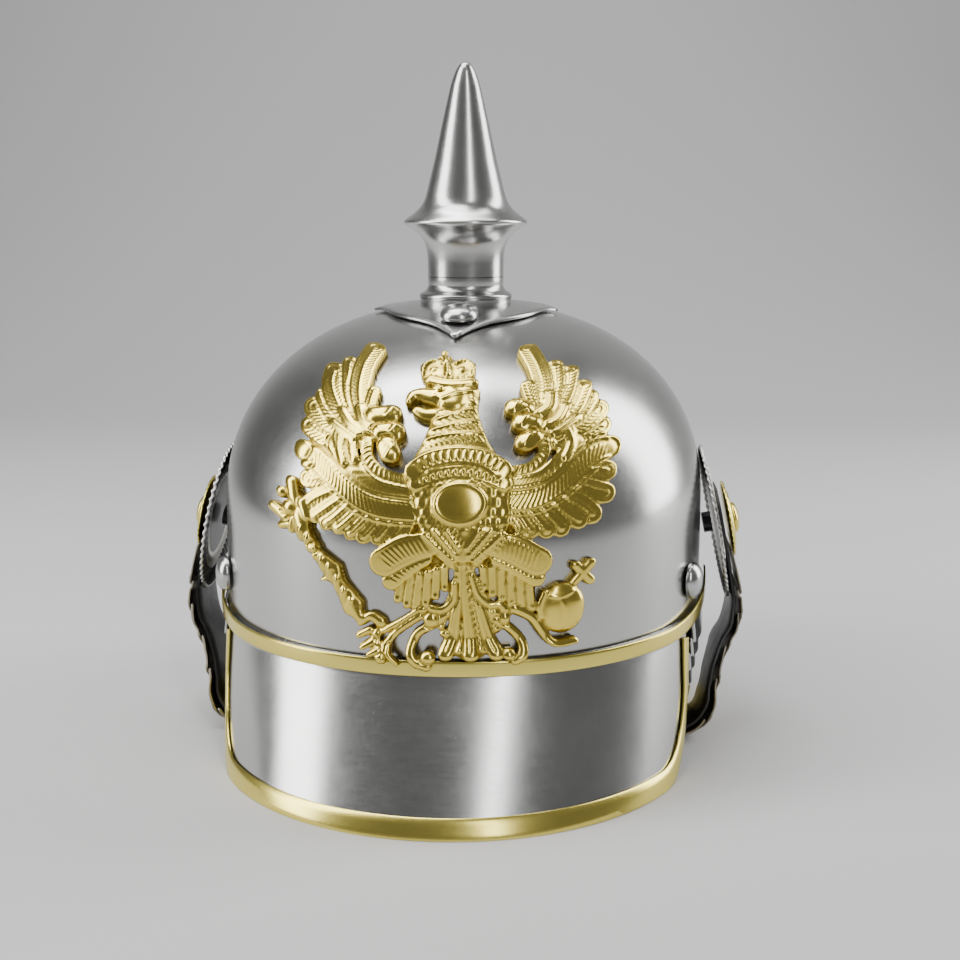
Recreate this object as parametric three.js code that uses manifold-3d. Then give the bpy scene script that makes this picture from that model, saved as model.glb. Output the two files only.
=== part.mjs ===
// A cuirassier's spiked helmet: a hollow steel skull with visor and neck guard, edged in
// brass, a turned steel spike, an eagle plate, side cockades and a strap of chin scales.
// Millimetres, +Z up, the front faces -Y, and the origin is on the floor in the middle.
import * as THREE from 'three';
import { mergeVertices } from 'three/addons/utils/BufferGeometryUtils.js';
import Module from 'manifold-3d';

const wasm = await Module();
wasm.setup();

// ---------------------------------------------------------------- driving dimensions
const GAP = 0.3;                 // clearance between touching pieces
const SHEET = 1.2;               // steel sheet of skull, visor and neck guard
const SKULL = {
  rim: 52,                       // level of the skull's lower rim
  widest: 101,                   // level where the dome starts to close
  top: 183,                      // level of the crown under the spike
  halfWidth: 102.6,
  halfLength: 118,
  planPower: 2.12,               // 2 is an ellipse, more is squarer
  widthPower: 2.2,               // how full the dome is seen from the front
  lengthPower: 2.0,              // and seen from the side
  forwardShift: 4,               // the rim sits this much further forward than the crown
  crownTilt: 0.08,               // the front of the crown slopes down by this ratio
  tiltSoftness: 30,              // over this length the slope dies away towards the back
};
const FLANGE = { top: 57.6, bend: 51.8, clear: 0.4 };
const BAND = { level: 55, height: 6.3, sheet: 1.0, endForward: 10, endRise: 11, riseFrom: 75 };
const VISOR = {
  rearTop: 58.5,                 // forward place of the rear edge at the flange
  rearBottom: 68.5,                // and at the floor
  centre: 52,                    // middle of the round lower outline
  halfWidth: 95,
  reach: 99.6,                   // from that middle to the sheet's front edge
  edgeLevel: 1.6,
  corner: 33,
  columns: 40,
};
const GUARD = {
  front: 48,                     // forward place of the front edge
  halfWidth: 97,
  reach: 153.4,
  power: 2.2,
  edgeLevel: 1.6,
  frontLevel: 20.8,                // the lower front corner stays this high
  levelFrom: -40,                // the lower edge starts to rise here
  lames: 4,
  lameStep: 1.4,
  plainFrom: 0.78,               // under the edging the sheet is plain
  columns: 38,
};
const TRIM = { cover: 5.8, sheet: 0.8, clear: 0.45, lip: 1.1, foot: 2.4 };
const RIVET = { forward: 51, level: 72.8, radius: 7.4, rise: 5.3 };
const PLATE = { halfWidth: 39.5, halfLength: 54, bulge: 0.16, lift: 1.0, sheet: 1.0 };
const STUD = { forward: 36, radius: 7.8, rise: 4.9 };
const COCKADE = { forward: 5, level: 88, face: 110.3, tilt: 11, radius: 33.5, thick: 2.4 };
const POST = { radius: 4.5 };
const ROSETTE = { radius: 16.5, thick: 2.4, knobRadius: 6.6, knobRise: 2.7 };
const LEATHER = { thick: 1.6, widthTop: 34, widthEnd: 19, end: 15 };
const SCALE = { count: 12, first: 10.5, pitchTop: 16.5, pitchEnd: 12.5, sheet: 0.8,
  clear: 0.7, widthTop: 38, widthEnd: 22, overlap: 1.42 };
const ROSETTE_SEAT = GAP + LEATHER.thick + SCALE.clear + SCALE.sheet + 2.4 * GAP;
const EAGLE = {
  side: -4,                      // it is mounted a little off the middle line
  lift: 0.6,                     // the plate stands this far off the shell
  footLevel: 56.4,               // heights on the plate are counted from here
  thick: 2.0,
  rise: 2.0,                     // head, body and orb stand out by this much more
  step: 3.2,                     // the foot of the plate passes over the band
  stepLevel: 59.5,
  stepLength: 9,
  topLevel: 179.5,
};
const BUCKLE = { hole: 21, bar: 1.1, length: 12 };

const MATERIALS = {
  steel: { color: 0xb9bbbd, roughness: 0.3, metalness: 1 },
  brass: { color: 0xcaa53a, roughness: 0.35, metalness: 1 },
  leather: { color: 0x151312, roughness: 0.6, metalness: 0 },
};

// ---------------------------------------------------------------- helpers
const place = (side, forward, level) => new THREE.Vector3(side, -forward, level);
const signedPower = (value, power) => Math.sign(value) * Math.abs(value) ** power;
const blend = (a, b, t) => a + (b - a) * t;
const clamp = (value, low, high) => Math.min(high, Math.max(low, value));
const smooth = (t) => t * t * (3 - 2 * t);

function solidFrom(corners) {
  const flat = [];
  let volume = 0;
  for (let i = 0; i < corners.length; i += 3) {
    volume += corners[i].dot(corners[i + 1].clone().cross(corners[i + 2]));
  }
  for (let i = 0; i < corners.length; i += 3) {
    const order = volume < 0 ? [0, 2, 1] : [0, 1, 2];
    for (const k of order) {
      flat.push(...corners[i + k].toArray());
    }
  }
  const geometry = new THREE.BufferGeometry();
  geometry.setAttribute('position', new THREE.Float32BufferAttribute(flat, 3));
  return mergeVertices(geometry, 1e-4);
}

function pushTriangle(corners, a, b, c) {
  const tiny = 1e-6;
  if (a.distanceTo(b) > tiny && b.distanceTo(c) > tiny && c.distanceTo(a) > tiny) {
    corners.push(a, b, c);
  }
}

function pushQuad(corners, a, b, c, d) {
  pushTriangle(corners, a, b, c);
  pushTriangle(corners, a, c, d);
}

// A wall between an outer and an inner sheet: point(i, j, layer) for i in 0..columns and
// j in 0..rows. A wrapped wall closes on itself, and an apex row ends in one point.
function wall(columns, rows, point, { wrap = false, apex = false } = {}) {
  const grid = [0, 1].map((layer) => Array.from({ length: columns + 1 }, (_, i) => (
    Array.from({ length: rows + 1 }, (__, j) => point(wrap && i === columns ? 0 : i, j, layer))
  )));
  const corners = [];
  for (let i = 0; i < columns; i += 1) {
    for (let j = 0; j < rows; j += 1) {
      const [o, n] = grid;
      pushQuad(corners, o[i][j], o[i + 1][j], o[i + 1][j + 1], o[i][j + 1]);
      pushQuad(corners, n[i][j], n[i][j + 1], n[i + 1][j + 1], n[i + 1][j]);
    }
    const [o, n] = grid;
    pushQuad(corners, o[i][0], n[i][0], n[i + 1][0], o[i + 1][0]);
    if (!apex) {
      pushQuad(corners, o[i][rows], o[i + 1][rows], n[i + 1][rows], n[i][rows]);
    }
  }
  if (!wrap) {
    for (let j = 0; j < rows; j += 1) {
      const [o, n] = grid;
      pushQuad(corners, o[0][j], o[0][j + 1], n[0][j + 1], n[0][j]);
      pushQuad(corners, o[columns][j], n[columns][j], n[columns][j + 1], o[columns][j + 1]);
    }
  }
  return solidFrom(corners);
}

// A closed section carried through a list of stations. Each cap names four corners of the
// section, and together the caps close both ends.
function sweep(stations, caps) {
  const corners = [];
  const count = stations[0].length;
  for (let i = 0; i + 1 < stations.length; i += 1) {
    for (let k = 0; k < count; k += 1) {
      const m = (k + 1) % count;
      const [a, b, c, d] = [stations[i][k], stations[i][m], stations[i + 1][m],
        stations[i + 1][k]];
      if (a.distanceTo(c) < b.distanceTo(d)) {
        pushQuad(corners, a, b, c, d);
      } else {
        pushQuad(corners, b, c, d, a);
      }
    }
  }
  for (const [a, b, c, d] of caps) {
    const first = stations[0];
    const last = stations.at(-1);
    pushQuad(corners, first[d], first[c], first[b], first[a]);
    pushQuad(corners, last[a], last[b], last[c], last[d]);
  }
  return solidFrom(corners);
}

function lathe(profile, segments) {
  const points = profile.map(([radius, height]) => new THREE.Vector2(radius, height));
  const geometry = new THREE.LatheGeometry(points, segments);
  geometry.rotateX(Math.PI / 2);
  geometry.deleteAttribute('normal');
  geometry.deleteAttribute('uv');
  const merged = mergeVertices(geometry, 1e-4).toNonIndexed().getAttribute('position');
  const corners = [];
  const at = (i) => new THREE.Vector3().fromBufferAttribute(merged, i);
  for (let i = 0; i < merged.count; i += 3) {
    pushTriangle(corners, at(i), at(i + 1), at(i + 2));
  }
  return solidFrom(corners);
}

function toManifold(geometry) {
  return new wasm.Manifold(new wasm.Mesh({
    numProp: 3,
    vertProperties: new Float32Array(geometry.getAttribute('position').array),
    triVerts: new Uint32Array(geometry.getIndex().array),
  }));
}

function fromManifold(solid) {
  const mesh = solid.getMesh();
  const geometry = new THREE.BufferGeometry();
  geometry.setAttribute('position', new THREE.Float32BufferAttribute(mesh.vertProperties, 3));
  geometry.setIndex(new THREE.Uint32BufferAttribute(mesh.triVerts, 1));
  return geometry;
}

const helmet = new THREE.Group();

function add(name, geometry, materialName) {
  geometry.computeVertexNormals();
  const material = new THREE.MeshStandardMaterial(MATERIALS[materialName]);
  const mesh = new THREE.Mesh(geometry, material);
  mesh.name = name;
  helmet.add(mesh);
  return mesh;
}

// ---------------------------------------------------------------- the skull's surface
function skullRaw(angle, level) {
  const close = clamp((level - SKULL.widest) / (SKULL.top - SKULL.widest), 0, 1);
  const halfWidth = SKULL.halfWidth * (1 - close ** SKULL.widthPower) ** (1 / SKULL.widthPower);
  const halfLength = SKULL.halfLength * (1 - close ** SKULL.lengthPower) ** (1 / SKULL.lengthPower);
  const power = 2 / SKULL.planPower;
  const height = (level - SKULL.rim) / (SKULL.top - SKULL.rim);
  const side = halfWidth * signedPower(Math.sin(angle), power);
  const forward = halfLength * signedPower(Math.cos(angle), power)
    + SKULL.forwardShift * (1 - height);
  const lean = (forward + Math.hypot(forward, SKULL.tiltSoftness)) / 2;
  return place(side, forward, level - SKULL.crownTilt * lean * clamp(height, 0, 1));
}

// A point on the skull, moved out along the surface's normal. The angle runs from the
// front (0) towards +X, and a level at the top is the crown itself.
function skull(angle, level, out = 0) {
  if (level > SKULL.top - 0.01) {
    const crown = skullRaw(0, SKULL.top);
    const slope = SKULL.crownTilt / 2;
    return crown.add(new THREE.Vector3(0, -slope, 1).normalize().multiplyScalar(out));
  }
  const step = 1e-3;
  const point = skullRaw(angle, level);
  const around = skullRaw(angle + step, level).sub(skullRaw(angle - step, level));
  const low = Math.min(level + step, SKULL.top - 0.005);
  const up = skullRaw(angle, low).sub(skullRaw(angle, low - 2 * step));
  const normal = around.cross(up).normalize();
  return point.add(normal.multiplyScalar(out));
}

// The angle at which the skull's section at a level reaches a forward place.
function angleAt(forward, level) {
  let low = 0;
  let high = Math.PI;
  for (let i = 0; i < 50; i += 1) {
    const middle = (low + high) / 2;
    if (-skullRaw(middle, level).y > forward) {
      low = middle;
    } else {
      high = middle;
    }
  }
  return low;
}

// The point over a place in plan, on the outside of the dome.
function crownAt(side, forward, out) {
  const reach = Math.max(Math.abs(side), 1e-6);
  let low = SKULL.widest;
  let high = SKULL.top;
  for (let i = 0; i < 50; i += 1) {
    const level = (low + high) / 2;
    const angle = angleAt(forward, level);
    if (skullRaw(angle, level).x > reach) {
      low = level;
    } else {
      high = level;
    }
  }
  const spot = skull(angleAt(forward, low), low, out);
  spot.x *= side < 0 ? -1 : 1;
  return spot;
}

const around = (i, count) => (2 * Math.PI * i) / count;

function buildSkull() {
  const columns = 56;
  const wallRows = 3;
  const domeRows = 11;
  const levelOf = (j) => (j <= wallRows
    ? blend(SKULL.rim, SKULL.widest, j / wallRows)
    : SKULL.widest + (SKULL.top - SKULL.widest)
      * Math.sin((Math.PI / 2) * ((j - wallRows) / domeRows)));
  add('shell', wall(columns, wallRows + domeRows, (i, j, layer) => (
    skull(around(i, columns), levelOf(j), layer ? -SHEET : 0)
  ), { wrap: true, apex: true }), 'steel');
}

// ---------------------------------------------------------------- visor and neck guard
const visorTopAngle = angleAt(VISOR.rearTop, FLANGE.bend);
const visorLowAngle = Math.acos((VISOR.rearBottom - VISOR.centre) / VISOR.reach);

// share runs from -1 at the left rear edge to 1 at the right one, drop from 0 at the
// bend to 1 at the lower edge.
function visorMid(share, drop) {
  const top = skull(share * visorTopAngle, FLANGE.bend, FLANGE.clear + SHEET / 2);
  const low = share * visorLowAngle;
  const bottom = place(VISOR.halfWidth * Math.sin(low),
    VISOR.centre + VISOR.reach * Math.cos(low), VISOR.edgeLevel);
  return top.lerp(bottom, drop);
}

// The lower corners are rounded: near the rear edge the sheet ends higher.
function visorEdgeDrop(share) {
  const perShare = visorLowAngle * VISOR.reach;
  const fromRear = (1 - Math.abs(share)) * perShare;
  const height = FLANGE.bend - VISOR.edgeLevel;
  const inside = clamp(VISOR.corner - fromRear, 0, VISOR.corner);
  return 1 - (VISOR.corner - Math.sqrt(VISOR.corner ** 2 - inside ** 2)) / height;
}

const guardTopAngle = angleAt(GUARD.front, FLANGE.bend);

function guardLowLevel(forward) {
  const rise = clamp((forward - GUARD.levelFrom) / (GUARD.front - GUARD.levelFrom), 0, 1);
  return blend(GUARD.edgeLevel, GUARD.frontLevel, rise ** 1.5);
}

// share runs from 0 at the right front edge round the back to 1 at the left one.
function guardMid(share, drop) {
  const angle = blend(guardTopAngle, 2 * Math.PI - guardTopAngle, share);
  const top = skull(angle, FLANGE.bend, FLANGE.clear + SHEET / 2);
  const lowStart = Math.asin((GUARD.front / GUARD.reach) ** (GUARD.power / 2));
  const low = blend(-lowStart, Math.PI + lowStart, share);
  const power = 2 / GUARD.power;
  const forward = -GUARD.reach * signedPower(Math.sin(low), power);
  const side = GUARD.halfWidth * signedPower(Math.cos(low), power);
  const bottom = place(side, forward, guardLowLevel(forward));
  const flare = drop ** 1.1;
  return new THREE.Vector3(blend(top.x, bottom.x, flare), blend(top.y, bottom.y, flare),
    blend(top.z, bottom.z, drop));
}

// Each lame stands out over the one below it.
function lameOut(drop) {
  const phase = ((drop / GUARD.plainFrom) * GUARD.lames) % 1;
  return drop >= GUARD.plainFrom ? 0 : GUARD.lameStep * phase;
}

function normalOf(sheet, share, drop) {
  const step = 1e-3;
  const s = clamp(share, -1 + step, 1 - step);
  const d = clamp(drop, step, 1 - step);
  const across = sheet(s + step, d).sub(sheet(s - step, d));
  const down = sheet(s, d + step).sub(sheet(s, d - step));
  const normal = across.cross(down).normalize();
  const middle = sheet(s, d);
  return normal.dot(new THREE.Vector3(middle.x, middle.y, 0)) < 0 ? normal.negate() : normal;
}

function sheetPoint(sheet, share, drop, out) {
  return sheet(share, drop).add(normalOf(sheet, share, drop).multiplyScalar(out));
}

// More columns near the ends, where the corners are round.
const crowd = (t) => Math.sin((Math.PI / 2) * t);

function buildVisor() {
  const columns = VISOR.columns;
  const rows = 5;
  const shareOf = (i) => crowd(blend(-1, 1, i / columns));
  add('visor', wall(columns, rows + 1, (i, j, layer) => {
    const out = layer ? -SHEET / 2 : SHEET / 2;
    const share = shareOf(i);
    if (j === 0) {
      return skull(share * visorTopAngle, FLANGE.top, FLANGE.clear + SHEET / 2 + out);
    }
    if (j === 1) {
      return skull(share * visorTopAngle, FLANGE.bend, FLANGE.clear + SHEET / 2 + out);
    }
    return sheetPoint(visorMid, share, visorEdgeDrop(share) * ((j - 1) / rows), out);
  }), 'steel');
}

function buildGuard() {
  const columns = GUARD.columns;
  const drops = [0];
  for (let lame = 0; lame < GUARD.lames; lame += 1) {
    for (const part of [0.5, 0.96, 1]) {
      drops.push((GUARD.plainFrom * (lame + part)) / GUARD.lames);
    }
  }
  drops.push(0.9, 1);
  add('neck_guard', wall(columns, drops.length, (i, j, layer) => {
    const out = layer ? -SHEET / 2 : SHEET / 2;
    const share = i / columns;
    if (j === 0) {
      const angle = blend(guardTopAngle, 2 * Math.PI - guardTopAngle, share);
      return skull(angle, FLANGE.top, FLANGE.clear + SHEET / 2 + out);
    }
    const drop = drops[j - 1];
    return sheetPoint(guardMid, share, drop, out + lameOut(drop));
  }), 'steel');
}

// ---------------------------------------------------------------- folded brass edging
// A folded strip over the edge of a sheet. Each stop has the edge point, the direction
// into the sheet and the sheet's normal. Over the floor its fold is cut level.
function foldedEdge(stops) {
  const inner = SHEET / 2 + TRIM.clear;
  const outer = inner + TRIM.sheet;
  const stations = stops.map(({ edge, into, normal }) => {
    const lip = TRIM.lip + TRIM.foot * into.z ** 2;
    const spot = (along, out) => {
      const point = edge.clone().addScaledVector(into, along).addScaledVector(normal, out);
      if (point.z < 0) {
        point.addScaledVector(into, -point.z / into.z);
      }
      return point;
    };
    return [spot(TRIM.cover, outer), spot(-lip, outer), spot(-lip, -outer),
      spot(TRIM.cover, -outer), spot(TRIM.cover, -inner), spot(-TRIM.clear, -inner),
      spot(-TRIM.clear, inner), spot(TRIM.cover, inner)];
  });
  return sweep(stations, [[0, 1, 6, 7], [1, 2, 5, 6], [2, 3, 4, 5]]);
}

function edgeStops(points, sheetNormals) {
  return points.map((edge, i) => {
    const before = points[Math.max(0, i - 1)];
    const after = points[Math.min(points.length - 1, i + 1)];
    const along = after.clone().sub(before).normalize();
    const normal = sheetNormals[i];
    const into = normal.clone().cross(along).normalize();
    return { edge, into, normal };
  });
}

function buildVisorTrim() {
  const points = [];
  const normals = [];
  const push = (share, drop) => {
    points.push(visorMid(share, drop));
    normals.push(normalOf(visorMid, share, drop));
  };
  const sideRows = 5;
  const startDrop = 0.03;
  const cornerDrop = visorEdgeDrop(1);
  for (let j = 0; j < sideRows; j += 1) {
    push(-1, blend(startDrop, cornerDrop, j / sideRows));
  }
  const columns = VISOR.columns;
  for (let i = 0; i <= columns; i += 1) {
    const share = crowd(blend(-1, 1, i / columns));
    push(share, visorEdgeDrop(share));
  }
  for (let j = sideRows - 1; j >= 0; j -= 1) {
    push(1, blend(startDrop, cornerDrop, j / sideRows));
  }
  const stops = edgeStops(points, normals);
  const inward = stops[Math.floor(stops.length / 2)].into.z > 0 ? 1 : -1;
  stops.forEach((stop) => stop.into.multiplyScalar(inward));
  add('visor_trim', foldedEdge(stops), 'brass');
}

function buildGuardTrim() {
  const points = [];
  const normals = [];
  const push = (share, drop) => {
    points.push(guardMid(share, drop));
    normals.push(normalOf(guardMid, share, drop));
  };
  const columns = GUARD.columns;
  for (let i = 0; i <= columns; i += 1) {
    push(i / columns, 1);
  }
  const stops = edgeStops(points, normals);
  const inward = stops[Math.floor(stops.length / 2)].into.z > 0 ? 1 : -1;
  stops.forEach((stop) => stop.into.multiplyScalar(inward));
  add('neck_guard_trim', foldedEdge(stops), 'brass');
}

// ---------------------------------------------------------------- brass band
function bandLevel(forward) {
  const rise = clamp((BAND.riseFrom - forward) / (BAND.riseFrom - BAND.endForward), 0, 1);
  return BAND.level + BAND.endRise * rise ** 1.6;
}

function buildBand() {
  const columns = 48;
  const end = angleAt(BAND.endForward, FLANGE.top);
  const clear = FLANGE.clear + SHEET + GAP;
  add('front_band', wall(columns, 2, (i, j, layer) => {
    const angle = end * crowd(blend(-1, 1, i / columns));
    const forward = -skullRaw(angle, FLANGE.top).y;
    const level = bandLevel(forward) + BAND.height * (j / 2 - 0.5);
    const crown = j === 1 && layer === 0 ? 0.5 : 0;
    return skull(angle, level, clear + (layer ? 0 : BAND.sheet) + crown);
  }), 'brass');
}

// ---------------------------------------------------------------- rivets and studs
function domed(radius, rise, segments) {
  const rings = 5;
  const profile = [[0, 0], [radius * 0.82, 0], [radius, rise * 0.22]];
  for (let i = 1; i < rings; i += 1) {
    const turn = (Math.PI / 2) * (i / rings);
    profile.push([radius * Math.cos(turn), rise * (0.22 + 0.78 * Math.sin(turn))]);
  }
  profile.push([0, rise]);
  return lathe(profile, segments);
}

function orient(geometry, spot, axis, turn = 0) {
  geometry.rotateZ(turn);
  const up = new THREE.Vector3(0, 0, 1);
  geometry.applyQuaternion(new THREE.Quaternion().setFromUnitVectors(up, axis));
  geometry.translate(spot.x, spot.y, spot.z);
  return geometry;
}

function buildRivets() {
  for (const [name, hand] of [['left', -1], ['right', 1]]) {
    const angle = hand * angleAt(RIVET.forward, RIVET.level);
    const inside = skull(angle, RIVET.level, 0);
    const axis = skull(angle, RIVET.level, 1).sub(inside).normalize();
    const spot = inside.addScaledVector(axis, GAP + 0.2);
    add(`rivet_${name}`, orient(domed(RIVET.radius, RIVET.rise, 20), spot, axis), 'steel');
  }
}

// ---------------------------------------------------------------- spike and its plate
// The plate is a diamond with slightly bowed sides that follows the dome.
function plateRadius(angle) {
  const side = Math.abs(Math.sin(angle)) / PLATE.halfWidth;
  const forward = Math.abs(Math.cos(angle)) / PLATE.halfLength;
  const straight = 1 / (side + forward);
  const bow = 1 + PLATE.bulge * Math.sin(2 * angle) ** 2;
  return straight * bow;
}

function buildPlate() {
  const columns = 40;
  const rings = 5;
  const geometry = wall(columns, rings, (i, j, layer) => {
    const angle = around(i, columns);
    const radius = plateRadius(angle) * (1 - j / rings);
    const side = radius * Math.sin(angle);
    const forward = radius * Math.cos(angle);
    const edge = (1 - j / rings) ** 4;
    return crownAt(side, forward, PLATE.lift * (0.4 + 0.6 * edge) + (layer ? 0 : PLATE.sheet));
  }, { wrap: true, apex: true });
  add('spike_plate', geometry, 'steel');
  for (const [name, hand] of [['front', 1], ['back', -1]]) {
    const forward = hand * STUD.forward;
    const inside = crownAt(0, forward, PLATE.lift + PLATE.sheet + GAP);
    const axis = crownAt(0, forward, PLATE.lift + PLATE.sheet + 1).sub(inside).normalize();
    const spot = inside.addScaledVector(axis, 0.1);
    add(`plate_stud_${name}`, orient(domed(STUD.radius, STUD.rise, 20), spot, axis), 'steel');
  }
}

const SPIKE_PROFILE = [
  [16.4, 193.2], [16.4, 200], [17.0, 205], [18.6, 209.2], [21.6, 212.2], [25.4, 214.6],
  [26.4, 216.0], [25.6, 217.6], [22.4, 219.8], [19.6, 222.6], [17.6, 226], [16.3, 230.5],
  [14.4, 237.5], [12.6, 245], [10.8, 253.5], [9.0, 261.5], [7.2, 269.5], [5.6, 276],
  [3.8, 280.2], [1.9, 282.4],
];
const SPIKE_TIP = 283;
const BASE_PROFILE = [
  [19.6, 183.6], [20.0, 184.6], [19.4, 185.8], [17.2, 187.2], [16.2, 188.6], [16.0, 189.4],
  [16.4, 190.2], [16.4, 192.9],
];

function buildSpike() {
  const segments = 32;
  const bottom = SPIKE_PROFILE[0][1];
  const outer = lathe([[0, bottom], ...SPIKE_PROFILE, [0, SPIKE_TIP]], segments);
  const hollow = SPIKE_PROFILE.filter(([radius], k) => k % 3 === 0 && radius > 3 * SHEET)
    .map(([radius, level]) => [radius - 1.6 * SHEET, level]);
  hollow[0][1] = bottom - 1;
  const inner = lathe([[0, bottom - 1], ...hollow, [0, hollow.at(-1)[1]]], segments / 2);
  const spike = toManifold(outer).subtract(toManifold(inner));
  add('spike', fromManifold(spike), 'steel');
  const lowest = 176;
  const foot = lathe([[0, lowest], [BASE_PROFILE[0][0], lowest], ...BASE_PROFILE,
    [0, BASE_PROFILE.at(-1)[1]]], segments);
  const columns = 40;
  const below = wall(columns, 4, (i, j, layer) => {
    const angle = around(i, columns);
    const radius = 27 * (1 - j / 4);
    const side = radius * Math.sin(angle);
    const out = PLATE.lift * 0.5 + PLATE.sheet + GAP;
    const spot = crownAt(side, radius * Math.cos(angle), out);
    return layer ? spot.setZ(lowest - 8) : spot;
  }, { wrap: true });
  add('spike_base', fromManifold(toManifold(foot).subtract(toManifold(below))), 'steel');
}

// ---------------------------------------------------------------- cockades and rosettes
const cockadeTilt = THREE.MathUtils.degToRad(COCKADE.tilt);

// The frame of one side: out is the disc's axis, down runs along its face.
function sideFrame(hand) {
  const out = new THREE.Vector3(hand * Math.cos(cockadeTilt), 0, Math.sin(cockadeTilt));
  const down = new THREE.Vector3(hand * Math.sin(cockadeTilt), 0, -Math.cos(cockadeTilt));
  const face = place(hand * COCKADE.face, COCKADE.forward, COCKADE.level);
  return { out, down, face };
}

function buildCockades() {
  const rim = COCKADE.radius;
  const disc = [[0, 0], [rim - 1.2, 0], [rim, 0.5], [rim, 0.9], [rim - 1.2, 1.3],
    [rim * 0.6, COCKADE.thick], [0, COCKADE.thick]];
  const bossRim = ROSETTE.radius;
  const boss = [[0, 0], [bossRim - 0.6, 0], [bossRim, 0.5], [bossRim - 1.2, 1.2],
    [bossRim - 3, 1.3], [bossRim - 5, ROSETTE.thick], [0, ROSETTE.thick]];
  for (const [name, hand] of [['left', -1], ['right', 1]]) {
    const { out, face } = sideFrame(hand);
    const spot = (along) => face.clone().addScaledVector(out, along);
    add(`cockade_${name}`, orient(lathe(disc, 32), spot(-COCKADE.thick), out), 'leather');
    const wallSide = (SKULL.halfWidth - COCKADE.face) / Math.cos(cockadeTilt);
    const slant = POST.radius * Math.tan(cockadeTilt);
    const low = wallSide + slant + GAP * 2;
    const high = -COCKADE.thick - GAP;
    const post = [[0, 0], [POST.radius, 0], [POST.radius, high - low], [0, high - low]];
    add(`cockade_post_${name}`, orient(lathe(post, 16), spot(low), out), 'steel');
    const seat = ROSETTE_SEAT;
    add(`rosette_${name}`, orient(lathe(boss, 28), spot(seat), out), 'brass');
    const knob = domed(ROSETTE.knobRadius, ROSETTE.knobRise, 18);
    add(`rosette_knob_${name}`, orient(knob, spot(seat + ROSETTE.thick + GAP), out), 'brass');
  }
}

// ---------------------------------------------------------------- strap of chin scales
// The leather's middle line on the +X side, from the end above the rosette to the middle
// of the helmet, where it lies on the floor.
const STRAP_ROUTE = [
  { side: 115.0, forward: 8.5, level: 44.6 },
  { side: 110.9, forward: 12, level: 36.2 },
  { side: 107.6, forward: 16.3, level: 26.6 },
  { side: 105.3, forward: 20.4, level: 17.8 },
  { side: 102.6, forward: 24.3, level: 10.8 },
  { side: 97.6, forward: 26.9, level: 6.2 },
  { side: 91.0, forward: 27.9, level: 4.6 },
  { side: 82.0, forward: 26.7, level: 4.3 },
  { side: 58.0, forward: 21, level: 4.3 },
  { side: 30.0, forward: 15.5, level: 4.3 },
  { side: 0.0, forward: 13.5, level: 4.3 },
];

function strapCurve() {
  const { out, down, face } = sideFrame(1);
  const middle = GAP + LEATHER.thick / 2;
  const onFace = ([along, fall]) => {
    return face.clone().addScaledVector(out, middle - fall).addScaledVector(down, along);
  };
  const right = [[-LEATHER.end, 0], [-4, 0], [8, 0], [18, 0], [26, 0.25], [33, 0.75]].map(onFace);
  for (const { side, forward, level } of STRAP_ROUTE) {
    right.push(place(side, forward, level));
  }
  const left = right.slice(0, -1).reverse().map((p) => new THREE.Vector3(-p.x, p.y, p.z));
  const curve = new THREE.CatmullRomCurve3([...right, ...left], false, 'centripetal');
  curve.arcLengthDivisions = 1200;
  return curve;
}

const strap = strapCurve();
const strapLength = strap.getLength();

// The frame of the strap at a length along it: its width lies level, apart from the pull
// of the route, and the scales' side faces out.
function strapFrame(length) {
  const share = clamp(length / strapLength, 0, 1);
  const spot = strap.getPointAt(share);
  const along = strap.getTangentAt(share);
  const across = new THREE.Vector3(0, -1, 0);
  across.addScaledVector(along, -across.dot(along)).normalize();
  const out = across.clone().cross(along).normalize();
  return { spot, along, across, out };
}

function strapPoint(length, side, height) {
  const { spot, across, out } = strapFrame(length);
  return spot.addScaledVector(across, side).addScaledVector(out, height);
}

const halfLoop = strapLength / 2;
const fromEnd = (length) => Math.min(length, strapLength - length);

function leatherWidth(length) {
  const share = clamp((fromEnd(length) - LEATHER.end) / (halfLoop - LEATHER.end), 0, 1);
  return blend(LEATHER.widthTop, LEATHER.widthEnd, share);
}

function buildStrap() {
  const steps = 96;
  const half = LEATHER.thick / 2;
  const stations = [];
  for (let i = 0; i <= steps; i += 1) {
    const length = (strapLength * i) / steps;
    const rounding = Math.min(1, 0.62 + fromEnd(length) / 18);
    const side = (leatherWidth(length) / 2) * rounding;
    stations.push([strapPoint(length, side, half), strapPoint(length, -side, half),
      strapPoint(length, -side, -half), strapPoint(length, side, -half)]);
  }
  add('chin_strap', sweep(stations, [[0, 1, 2, 3]]), 'leather');
}

// Each scale is a thin tongue that follows the strap, lifts off it towards its round lower
// end, and covers the start of the next one.
function scaleSolid(start, pitch, width, mirrored) {
  const columns = 5;
  const rows = 6;
  const length = pitch * SCALE.overlap;
  const slope = (SCALE.sheet + 1.1 * GAP) / pitch;
  return wall(columns, rows, (i, j, layer) => {
    const across = blend(-1, 1, j / rows);
    const reach = length * (1 - 0.3 * Math.abs(across) ** 2.4);
    const run = reach * (i / columns);
    const height = LEATHER.thick / 2 + SCALE.clear + slope * run + (layer ? 0 : SCALE.sheet);
    const place3 = strapPoint(start + run, (across * width) / 2, height);
    if (mirrored) {
      place3.x = -place3.x;
    }
    return place3;
  });
}

function buildScales() {
  for (const [name, mirrored] of [['right', false], ['left', true]]) {
    let start = LEATHER.end + SCALE.first;
    for (let k = 0; k < SCALE.count; k += 1) {
      const share = k / (SCALE.count - 1);
      const pitch = blend(SCALE.pitchTop, SCALE.pitchEnd, share);
      const width = blend(SCALE.widthTop, SCALE.widthEnd, share);
      const label = String(k + 1).padStart(2, '0');
      add(`scale_${name}_${label}`, scaleSolid(start, pitch, width, mirrored), 'brass');
      start += pitch;
    }
  }
}

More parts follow.
